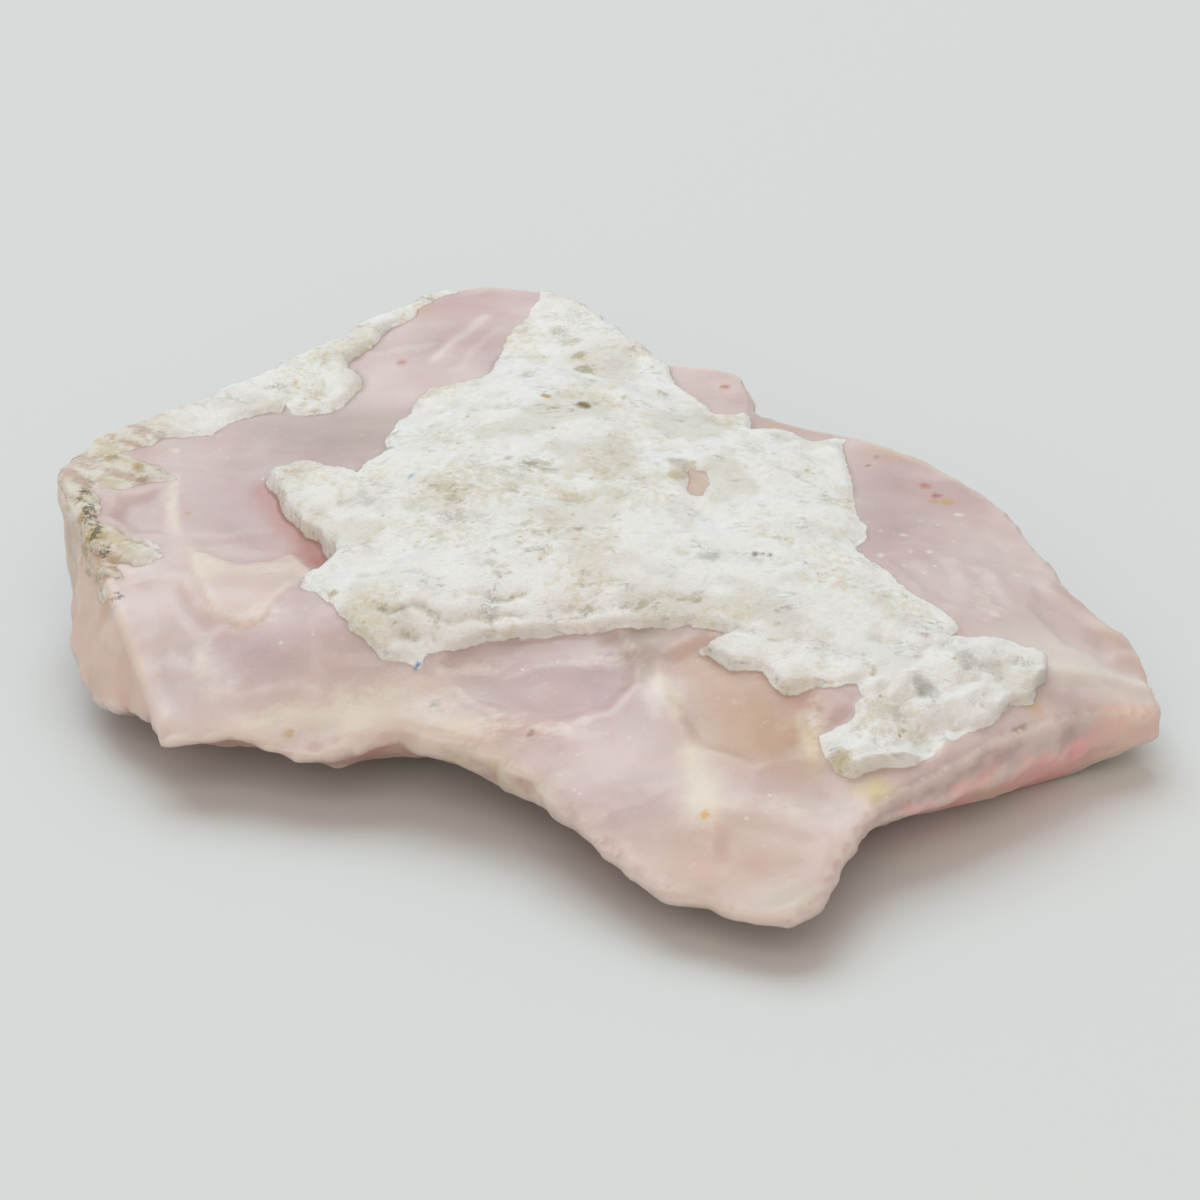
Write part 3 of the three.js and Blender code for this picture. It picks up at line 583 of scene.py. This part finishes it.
def crust_depth(points, facing_up):
    """How far inside the crust's edge each corner is. It is negative on bare opal."""
    plan = ragged(points)
    depth = depth_inside(plan, MAIN_CRUST)
    for outline in (RIM_CRUST, CORNER_CRUST):
        depth = np.maximum(depth, depth_inside(plan, outline))
    feathery = depth_inside(plan, FEATHERY_CRUST)
    frayed = 0.5 * feathery + feathering(points)
    depth = np.maximum(depth, np.minimum(frayed, feathery + FEATHER_REACH))
    depth = np.minimum(depth, -depth_inside(plan, CRUST_WINDOW))
    on_slopes = SLOPE_DEPTH * (facing_up - CRUST_LIMIT) + field(points, "crust on slopes")
    on_slopes -= FOOT_THINNING * np.maximum(CRUST_FOOT - points[:, 2], 0)
    return np.minimum(depth, on_slopes)


def crust_step(plan):
    """Height of the step at the crust's edge, mostly that of the nearest place listed."""
    total = np.zeros(len(plan))
    shares = np.zeros(len(plan))
    for x, y, height in CRUST_STEPS:
        share = 1.0 / (np.hypot(plan[:, 0] - x, plan[:, 1] - y) + 0.5) ** 4
        total += share * height
        shares += share
    return total / shares


def along_lines(plan, lines):
    """Sum of soft ridges along lines."""
    height = np.zeros(len(plan))
    for line, size, half_width in lines:
        height += size * by_line(plan, line, half_width)
    return height


def crust_relief(points, plan):
    """Height of the crust's grain: low swells, crumbs with creases between them, pits and folds."""
    swell = field(points, "crust swell")
    crumbs = CRUMBS * (lumps(points, "crumbs") - 0.35)
    pits = PITS * ramp(0.12, 0.42, field(points, "pits")) * ramp(-0.2, 0.3, field(points, "pitted places"))
    folds = lumps(drawn_out(points, FOLD_DIRECTION, FOLD_STRETCH), "folds") - 0.45
    loose = FOLDS * ramp(-0.5, 1, depth_inside(plan, CRUMBLED_END)) * folds
    for x, y, reach_x, reach_y, height in CRUMBLED_LUMPS:
        loose += height * by_middle(plan, x, y, reach_x, reach_y)
    return swell + crumbs - pits + loose


def opal_relief(points, chips):
    """Height of broken opal: shell-shaped hollows, smaller chips and faint ripples."""
    bent = points + field(points, "break bend")[:, None]
    broken = bowls(bent, "breaks") + chips * bowls(bent, "chips")
    return broken + field(points, "opal swell") + field(points, "ripples")


def side_relief(points):
    """Height of the broken sides, which are rougher than the top, most of all at the back."""
    small = bowls(points, "small chips")
    split = field(points, "splits")
    at_back = ramp(*BACK_STARTS, points[:, 1])
    split += ROUGH_BACK * at_back * (lumps(points, "rough back") - 0.35)
    return 1.3 * opal_relief(points, SIDE_CHIPS) + small + split


def convexity(mesh, points, normals, rounds):
    """How far each corner stands out from some rounds of its neighbours."""
    edges = np.empty(len(mesh.edges) * 2, int)
    mesh.edges.foreach_get("vertices", edges)
    ends = edges.reshape(-1, 2)
    count = np.bincount(edges, minlength=len(points))[:, None]
    around = points
    for _ in range(rounds):
        total = np.zeros_like(points)
        np.add.at(total, ends[:, 0], around[ends[:, 1]])
        np.add.at(total, ends[:, 1], around[ends[:, 0]])
        around = total / count
    return ((points - around) * normals).sum(axis=1)


def scars_and_flakes(plan):
    """Height of the flake scars and of the flake that is still in place."""
    height = np.zeros(len(plan))
    for outline, depth in FLAKE_SCARS:
        height -= depth * ramp(0, SCAR_SLOPE, depth_inside(plan, outline))
    return height + SALMON_FLAKE_HEIGHT * ramp(-0.2, 0.4, depth_inside(plan, SALMON_FLAKE))


def shape_stone(mesh):
    """Gives the skin its relief. Returns what the colouring needs to know."""
    points, normals = read_skin(mesh)
    up = normals[:, 2]
    plan = points[:, :2]
    depth = crust_depth(points, up)
    on_top = ramp(*TOP_STARTS, up)
    crust = ramp(*CRUST_ROUNDING, depth)
    step = crust_step(plan)
    beside = np.exp(-np.maximum(-depth, 0) / STEP_REACH)
    grain = crust_relief(points, plan)
    opal = scars_and_flakes(plan) - (1 - STEP_ABOVE) * step * beside
    opal += 0.7 * opal_relief(points, TOP_CHIPS)
    top = crust * (STEP_ABOVE * step + grain) + (1 - crust) * opal
    broken_up = ramp(-0.1, 0.2, field(points, "open cracks"))
    cracks = along_lines(ragged(points), LAYER_CRACKS) * (0.7 + 0.3 * broken_up)
    top += along_lines(plan, RIDGES) - along_lines(plan, GROOVES) * broken_up - cracks
    side = SIDE_GROWTH + (1 - crust) * side_relief(points) + crust * (SIDE_CRUST + 0.8 * grain)
    relief = on_top * top + (1 - on_top) * side
    relief *= ramp(*RELIEF_STARTS, points[:, 2])
    low, high = (np.array(corner) / MM for corner in cad_box)
    moved = np.clip(points + normals * relief[:, None], low, high)
    mesh.vertices.foreach_set("co", (moved * MM).ravel())
    mesh.update()
    _, normals = read_skin(mesh)
    proud = convexity(mesh, moved, normals, WIDE_LOOK)
    crumbs = convexity(mesh, moved, normals, CLOSE_LOOK)
    return dict(points=moved, up=up, depth=depth, on_top=on_top, cracks=cracks, proud=proud, crumbs=crumbs)


# ---- Colouring ----


def opal_colours(skin):
    """Colour of the bare opal at each corner, with painted highlights and painted shade."""
    points = skin["points"]
    plan = ragged(points)
    colour = np.tile(pigment(OPAL_PINK), (len(points), 1))
    cloud = field(points, "clouds")
    paint(colour, "bloom", 0.5 * ramp(0, 0.5, cloud))
    paint(colour, "mauve", 0.5 * ramp(0, 0.5, -cloud))
    paint(colour, "bloom", 0.45 * ramp(0.05, 0.4, field(points, "haze")))
    for outline, name, strength, width in OPAL_AREAS:
        inside = ramp(-width / 2, width / 2, depth_inside(plan, outline))
        paint(colour, name, strength * inside * ramp(*UNDERCUT_ENDS, skin["up"]))
    for x, y, reach_x, reach_y, name, strength in OPAL_PATCHES:
        paint(colour, name, skin["on_top"] * strength * by_middle(plan, x, y, reach_x, reach_y))
    salmon = ramp(-0.2, 0.3, depth_inside(plan, SALMON_FLAKE))
    paint(colour, "salmon", 0.6 * skin["on_top"] * salmon)
    for line, half_width, name, strength in OPAL_STREAKS:
        paint(colour, name, skin["on_top"] * strength * by_line(plan, line, half_width))
    paint_sides(colour, points, skin["up"])
    # painted highlights on ridges and crumbs, painted shade in hollows
    paint_highlights_and_shade(colour, skin)
    return colour


def paint_highlights_and_shade(colour, skin):
    """Painted highlights on ridges, edges and crumbs, rosy painted shade in hollows, weaker near crust."""
    x, y, _ = skin["points"].T
    right_front = ramp(18, 24, x) * ramp(-6, -12, y)
    # painted highlight on ridges and edges
    paint(colour, "bloom", 0.6 * (1 - 0.7 * right_front) * ramp(0.08, 0.4, skin["proud"]))
    off_crust = ramp(-0.3, -1.5, skin["depth"])
    # painted shade in hollows
    paint(colour, "rose", (0.1 + 0.4 * off_crust) * ramp(0.06, 0.4, -skin["proud"]))
    # painted highlight on crumbs
    paint(colour, "white", 0.3 * ramp(0.015, 0.08, skin["crumbs"]))


def paint_sides(colour, points, up):
    """Peach sides with pale streaks, a rose band low on the right, a painted glow, a pale rind, and painted
    shade underneath.
    """
    x, y, z = points.T
    side = 1 - ramp(0, 0.45, up)
    steep = 1 - ramp(0.4, 0.8, up)
    right_front = ramp(14, 24, x) * ramp(-6, -12, y)

    # all round, except that the left end stays pale
    streak = field(points, "side streaks")
    paint(colour, "peach", 0.5 * side * (1 - right_front) * ramp(-38, -36, x))
    paint(colour, "bloom", side * (0.45 - 0.35 * right_front) * ramp(0.05, 0.4, streak))
    paint(colour, "rose", 0.35 * side * ramp(0.1, 0.45, -streak))

    # the right front: mauve streaks above, a rose band below them, and a painted glow on the thin corner
    long_streak = ramp(36, 30, x) * ramp(-0.15, 0.25, field(points, "long streaks"))
    paint(colour, "mauve", 0.75 * steep * right_front * long_streak)
    mottled = field(points, "mottling")
    rose_band = ramp(18, 23, x) * ramp(41, 36, x) * ramp(*ROSE_BAND_TOP, z + mottled)
    paint(colour, "rose red", steep * right_front * rose_band)
    # painted glow, where light shines through the thin corner
    paint(colour, "glow", 0.8 * steep * ramp(37, 41, x) * ramp(-7, -12, y))

    # the rough wall to the left of the tongue
    rough_wall = side * ramp(-20, -16, x) * ramp(-2, -7, x) * ramp(-17, -19, y)
    paint(colour, "cream", 0.8 * rough_wall * ramp(-0.2, 0.3, streak))
    paint(colour, "tan", 0.7 * rough_wall * ramp(0, 0.3, field(points, "rough wall")))

    # the underside: red painted shade on faces that turn down, and pale and tan patches
    below = ramp(0.3, 0.8, -up)
    # red painted shade on faces that turn down
    paint(colour, "red", 0.5 * (1 - right_front) * ramp(0.1, 0.6, -up))
    paint(colour, "bloom", 0.8 * below * ramp(0, 0.3, field(points, "pale underside")))
    paint(colour, "tan", 0.6 * below * ramp(0.1, 0.3, field(points, "tan underside")))

    # a pale rind along the foot, thick at the left end and thin at the right front
    thickness = RIND + RIND_MORE_LEFT * ramp(-34, -38, x) - RIND_LESS_RIGHT * ramp(20, 26, x)
    rind = ramp(1, 0.6, (z + 0.5 * mottled) / thickness) * ramp(-0.7, -0.2, up)
    paint(colour, "cream", 0.85 * side * rind)


def away_from_crumbled_end(plan):
    """0.3 in the crumbled end, where the painted shade in hollows is fainter, and 1 on the rest of the
    crust.
    """
    return 1 - 0.7 * ramp(-0.5, 1, depth_inside(plan, CRUMBLED_END))


def crust_colours(skin):
    """Colour of the clean crust at each corner, with tan and olive painted shade in its hollows and
    creases.
    """
    points = skin["points"]
    colour = np.tile(pigment(CRUST_WHITE), (len(points), 1))
    paint(colour, "tan", 0.3 * ramp(0.05, 0.4, field(points, "tan crust")))
    paint(colour, "grey", 0.12 * ramp(0.08, 0.4, field(points, "grey crust")))
    # painted shade: tan in the hollows and olive in the creases between crumbs
    hollow_shade = away_from_crumbled_end(points[:, :2]) * ramp(0.2, 1.4, skin["depth"])
    paint(colour, "tan", 0.22 * hollow_shade * ramp(0.05, 0.3, -skin["proud"]))
    paint(colour, "olive", 0.17 * hollow_shade * ramp(0.02, 0.1, -skin["crumbs"]))
    corner = ramp(-33, -38, points[:, 0])
    feathers = feathering(points)
    paint(colour, "chalk", 0.8 * corner)
    paint(colour, "peach", 0.7 * corner * ramp(0.02, 0.3, -feathers))
    paint(colour, "mustard", 0.35 * corner * ramp(0.2, 0.45, feathers))
    return colour


def crust_stains_and_shade(skin):
    """Colour and strength, at each corner, of the crust's stain and of olive painted shade in hollows and
    cracks.
    """
    plan = ragged(skin["points"])
    colour = np.tile(pigment(COLOURS["yellow"]), (len(plan), 1))
    strength = 0.36 * ramp(-0.05, 0.35, field(skin["points"], "yellowing"))
    # painted shade: olive in the crust's hollows
    hollow = 0.27 * ramp(0.08, 0.3, -skin["proud"]) * ramp(0.3, 1.2, skin["depth"])
    hollow *= away_from_crumbled_end(plan)
    paint(colour, "olive", 1.3 * hollow)
    strength = np.maximum(strength, hollow)
    # painted shade: olive in the layer cracks
    cracks = np.clip(skin["cracks"] / 0.4, 0, 1)
    paint(colour, "olive", 1.3 * cracks)
    strength = np.maximum(strength, 0.6 * cracks)
    for x, y, radius, name, power in CRUST_STAINS:
        here = power * ramp(1.5, 0.3, np.hypot(plan[:, 0] - x, plan[:, 1] - y) / radius)
        paint(colour, name, here / np.maximum(here + 0.5 * strength, FAINTEST_STAIN))
        strength = np.maximum(strength, here)
    return colour, strength


def nearness(skin, patches):
    """1 in the middle of the nearest oval patch, falling smoothly to 0 outside it."""
    plan = skin["points"][:, :2]
    near = np.zeros(len(plan))
    for patch in patches:
        near = np.maximum(near, by_middle(plan, *patch))
    return near * ramp(*UNDERCUT_ENDS, skin["up"])


def add_specks(colour, skin):
    """Paints the specks, which lie on crust and opal alike."""
    plan = skin["points"][:, :2]
    for x, y, radius, name in SPECKS:
        away = np.hypot(plan[:, 0] - x, plan[:, 1] - y)
        paint(colour, name, skin["on_top"] * ramp(1.4, 0.5, away / radius))


def store_colour(mesh, name, colour):
    """Keeps a colour for each corner, for the material to find by name."""
    values = np.ones((len(colour), 4))
    values[:, :3] = colour
    mesh.attributes.new(name, "FLOAT_COLOR", "POINT").data.foreach_set("color", values.ravel())


def store_number(mesh, name, values):
    """Keeps a number for each corner, for the material to find by name."""
    mesh.attributes.new(name, "FLOAT", "POINT").data.foreach_set("value", values)


# ---- Material ----

OPAL_ROUGHNESS = (0.32, 0.48)  # least and most
CRUST_ROUGHNESS = 0.92
CLEARNESS = (0.6, 0.12)  # share of the light that goes into opal, and into crust
LIGHT_REACH = 2.6  # how far it spreads in there
GRAIN_HEIGHT = 0.2


class Shader:
    """A material's node tree, with a short call for each kind of node used."""

    def __init__(self, name):
        self.material = bpy.data.materials.new(name)
        self.material.use_nodes = True
        self.nodes = self.material.node_tree.nodes
        self.links = self.material.node_tree.links
        self.surface = self.nodes["Principled BSDF"]

    def put(self, socket, value):
        """Links a socket to another node's output, or sets it to a plain value."""
        if isinstance(value, bpy.types.NodeSocket):
            self.links.new(value, socket)
        else:
            socket.default_value = value

    def look(self, name, value):
        """Sets one input of the surface."""
        self.put(self.surface.inputs[name], value)

    def node(self, kind, output, inputs, **settings):
        """One output of a new node, given its inputs by name or number."""
        made = self.nodes.new("ShaderNode" + kind)
        for name, value in settings.items():
            setattr(made, name, value)
        for name, value in inputs.items():
            self.put(made.inputs[name], value)
        return made.outputs[output]

    def stored(self, name, output="Color"):
        """A value that the mesh keeps for each corner."""
        return self.node("Attribute", output, {}, attribute_name=name)

    def noise(self, wavelength, detail=3.0, roughness=0.55, stretch=1.0):
        """Noise from 0 to 1, fixed to the stone. It can be longer along x."""
        squeeze = {0: self.node("TexCoord", "Object", {}), 1: (1 / stretch, 1, 1)}
        at = self.node("VectorMath", "Vector", squeeze, operation="MULTIPLY")
        inputs = {"Vector": at, "Scale": 1 / (wavelength * MM), "Detail": detail, "Roughness": roughness}
        return self.node("TexNoise", "Fac", inputs)

    def cells(self, size):
        """Distance to the nearest of the points scattered one to a cell, in cells."""
        inputs = {"Vector": self.node("TexCoord", "Object", {}), "Scale": 1 / (size * MM)}
        return self.node("TexVoronoi", "Distance", inputs)

    def spread(self, value, low, high, to_low=0.0, to_high=1.0):
        """Maps low..high to to_low..to_high, held at both ends."""
        return self.node("MapRange", "Result", {0: value, 1: low, 2: high, 3: to_low, 4: to_high})

    def math(self, operation, a, b=0.0):
        """One operation on two values, or on one."""
        return self.node("Math", "Value", {0: a, 1: b}, operation=operation)

    def times(self, a, b):
        """The product of two values."""
        return self.math("MULTIPLY", a, b)

    def plus(self, a, b):
        """The sum of two values."""
        return self.math("ADD", a, b)

    def flaky(self, name, texture, low, high):
        """A value that the mesh keeps, broken up by noise and mapped from low..high to 0..1."""
        broken_up = self.plus(self.stored(name, "Fac"), self.spread(texture, 0.25, 0.75, -1, 1))
        return self.spread(broken_up, low, high)

    def mix(self, share, a, b):
        """Colour a where share is 0, colour b where it is 1."""
        return self.node("Mix", "Result", {"Factor": share, "A": a, "B": b}, data_type="RGBA")

    def shade(self, colour, amount):
        """A colour made lighter or darker by a factor near 1."""
        return self.node("VectorMath", "Vector", {0: colour, "Scale": amount}, operation="SCALE")


def solid(name):
    """A named colour for a shader socket."""
    return (*pigment(COLOURS[name]), 1)


def opal_look(make, clouds):
    """Colour of the opal: clouds, flecks, small white freckles and ragged flakes of chalk."""
    colour = make.shade(make.stored("opal_colour"), make.spread(clouds, 0.3, 0.7, 0.96, 1.04))
    flecks = make.spread(make.noise(0.8, 4, 0.65), 0.6, 0.75, 0, 0.35)
    colour = make.mix(flecks, colour, solid("bloom"))
    freckles = make.spread(make.cells(1.5), 0.08, 0.15, 0.9, 0)
    freckles = make.times(freckles, make.stored("freckles", "Fac"))
    colour = make.mix(freckles, colour, solid("white"))
    flaked = make.flaky("chalky", make.noise(0.7, 6, 0.7, stretch=1.8), 0.4, 1.2)
    flaked = make.times(flaked, make.spread(make.stored("chalky", "Fac"), 0, 1, 0, 0.7))
    return make.mix(flaked, colour, solid("pale flake"))


def crust_look(make, grain, flaky, cracks):
    """Crust colour: blotchy stains, ochre specks, painted light and shade on grain and hairline cracks."""
    # painted light and shade: a little lighter where the grain stands high, darker where it is low
    colour = make.shade(make.stored("crust_colour"), make.spread(grain, 0.3, 0.7, 0.96, 1.03))
    strength = make.stored("stain_and_shade_strength", "Fac")
    blotches = make.spread(make.noise(0.7, 6, 0.75), 0.25, 0.75, -0.6, 0.6)
    stained = make.spread(make.plus(strength, blotches), 0.25, 0.6)
    # the stains, which also carry the painted shade in the crust's hollows and cracks
    colour = make.mix(make.times(stained, strength), colour, make.stored("stain_and_shade_colour"))
    # painted shade: olive in the grain's low spots
    colour = make.mix(make.spread(grain, 0.36, 0.26, 0, 0.3), colour, solid("olive"))
    # painted shade: olive in the hairline cracks
    colour = make.mix(cracks, colour, solid("olive"))
    specks = make.spread(make.cells(1.1), 0.04, 0.24, 0.75, 0)
    specks = make.times(specks, make.spread(strength, 0.05, 0.3))
    specks = make.times(specks, make.spread(flaky, 0.4, 0.6))
    return make.mix(specks, colour, solid("mustard"))


def with_soot(make, colour):
    """The colour with fine soot over it, where the mesh says so."""
    soot = make.flaky("soot", make.noise(0.35, 4, 0.7, stretch=2.0), 0.5, 1)
    soot = make.times(soot, make.spread(make.stored("soot", "Fac"), 0.1, 0.4, 0, 0.75))
    return make.mix(soot, colour, solid("soot"))


def stone_material():
    """Waxy, slightly clear pink opal, and dull chalky crust where the mesh says so."""
    make = Shader("opal_and_crust")
    frayed = make.spread(make.noise(0.9), 0.3, 0.7, -0.06, 0.06)
    crust = make.spread(make.plus(make.stored("crust_depth", "Fac"), frayed), -0.26, -0.14)
    bare = make.math("SUBTRACT", 1, crust)

    clouds = make.noise(3.0, 5, 0.6)
    grain = make.noise(0.6, 6, 0.75)
    flaky = make.noise(1.6, 6, 0.7, stretch=2.5)
    off_crack = make.math("ABSOLUTE", make.math("SUBTRACT", flaky, 0.5))
    cracks = make.spread(off_crack, 0, 0.014, 0.32, 0)
    cracks = make.times(cracks, make.spread(make.noise(2.2), 0.5, 0.7))
    colour = make.mix(crust, opal_look(make, clouds), crust_look(make, grain, flaky, cracks))
    make.look("Base Color", with_soot(make, colour))

    wax = make.times(make.spread(clouds, 0.3, 0.7, *OPAL_ROUGHNESS), bare)
    chalk = make.times(crust, CRUST_ROUGHNESS)
    make.look("Roughness", make.plus(wax, chalk))
    make.look("Subsurface Weight", make.spread(crust, 0, 1, *CLEARNESS))
    make.look("Subsurface Radius", (1.0, 0.5, 0.4))
    make.look("Subsurface Scale", LIGHT_REACH * MM)

    rough = make.math("SUBTRACT", make.spread(grain, 0.2, 0.8), cracks)
    rough = make.times(rough, make.spread(crust, 0, 1, 0.1, 1))
    bumpy = make.node("Bump", "Normal", {"Distance": GRAIN_HEIGHT * MM, "Height": rough})
    make.look("Normal", bumpy)
    return make.material


def make_stone():
    """The whole stone, standing for the CAD node."""
    stone = even_skin()
    skin = shape_stone(stone.data)
    opal = opal_colours(skin)
    crust = crust_colours(skin)
    # the stain colour and strength also carry the olive painted shade in the crust's hollows and cracks
    stain, stain_and_shade_strength = crust_stains_and_shade(skin)
    add_specks(opal, skin)
    add_specks(crust, skin)
    for name, colour in (("opal_colour", opal), ("crust_colour", crust), ("stain_and_shade_colour", stain)):
        store_colour(stone.data, name, colour)
    store_number(stone.data, "stain_and_shade_strength", stain_and_shade_strength)
    store_number(stone.data, "crust_depth", skin["depth"])
    for name, patches in (("soot", SOOT), ("freckles", FRECKLED), ("chalky", CHALKY)):
        store_number(stone.data, name, nearness(skin, patches))
    stone.data.materials.clear()
    stone.data.materials.append(stone_material())
    stone.data.shade_smooth()
    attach(stone, "root")
    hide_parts("opal_stone")


# ---- Studio ----

STONE_MIDDLE = Vector((0.15, -1.36, 8)) * MM  # what the camera looks at
CAMERA_ELEVATION = math.radians(28)
CAMERA_DISTANCE = 333 * MM
CAMERA_LENS = 125  # millimetres, on a sensor that is 36 wide
FLOOR_SIZE = 6.0  # metres
FLOOR_COLOUR = (214, 217, 216)
KEY_COLOUR = (0.72, 0.89, 1)
FILL_COLOUR = (1.0, 0.90, 0.82)
SKY_COLOUR = (1.0, 0.86, 0.76)
SKY_STRENGTH = 0.515


def add_camera():
    """Looks down at the stone from the front."""
    lens = bpy.data.cameras.new("camera")
    lens.lens = CAMERA_LENS
    lens.sensor_width = 36
    lens.clip_start = 0.01
    camera = add_object("camera", lens)
    back = Vector((0, -math.cos(CAMERA_ELEVATION), math.sin(CAMERA_ELEVATION)))
    camera.location = STONE_MIDDLE + back * CAMERA_DISTANCE
    camera.rotation_euler = (math.pi / 2 - CAMERA_ELEVATION, 0, 0)
    bpy.context.scene.camera = camera


def add_floor():
    """A plain pale floor."""
    mesh = bpy.data.meshes.new("floor")
    half = FLOOR_SIZE / 2
    corners = [(-half, -half, 0), (half, -half, 0), (half, half, 0), (-half, half, 0)]
    mesh.from_pydata(corners, [], [(0, 1, 2, 3)])
    floor = add_object("floor", mesh)
    paper = Shader("floor_paper")
    paper.look("Base Color", (*pigment(FLOOR_COLOUR), 1))
    paper.look("Roughness", 0.7)
    paper.look("Specular IOR Level", 0.2)
    mesh.materials.append(paper.material)


def add_softbox(name, turn, elevation, distance, size, power, colour):
    """A square soft light that faces the stone. Turn is 0 behind the stone and 90 to its right.

    Turn and elevation are in degrees, distance and size in metres, and power in watts.
    """
    light = bpy.data.lights.new(name, "AREA")
    light.shape = "SQUARE"
    light.size = size
    light.energy = power
    light.color = colour
    softbox = add_object(name, light)
    across, height = math.radians(turn), math.radians(elevation)
    level = Vector((math.sin(across), math.cos(across), 0))
    towards = level * math.cos(height) + Vector((0, 0, math.sin(height)))
    softbox.location = STONE_MIDDLE + towards * distance
    softbox.rotation_mode = "QUATERNION"
    softbox.rotation_quaternion = towards.to_track_quat("Z", "Y")


def add_sky():
    """Even pale light from all round, as white studio walls give."""
    world = bpy.data.worlds.new("studio")
    world.use_nodes = True
    world.node_tree.nodes["Background"].inputs["Color"].default_value = (*SKY_COLOUR, 1)
    world.node_tree.nodes["Background"].inputs["Strength"].default_value = SKY_STRENGTH
    bpy.context.scene.world = world


bpy.context.scene.view_settings.view_transform = "Standard"
make_stone()
add_floor()
add_softbox("key", turn=-20, elevation=61, distance=2.6, size=2.2, power=50.9, colour=KEY_COLOUR)
add_softbox("fill", turn=185, elevation=42, distance=2.6, size=2.4, power=28, colour=FILL_COLOUR)
add_sky()
add_camera()
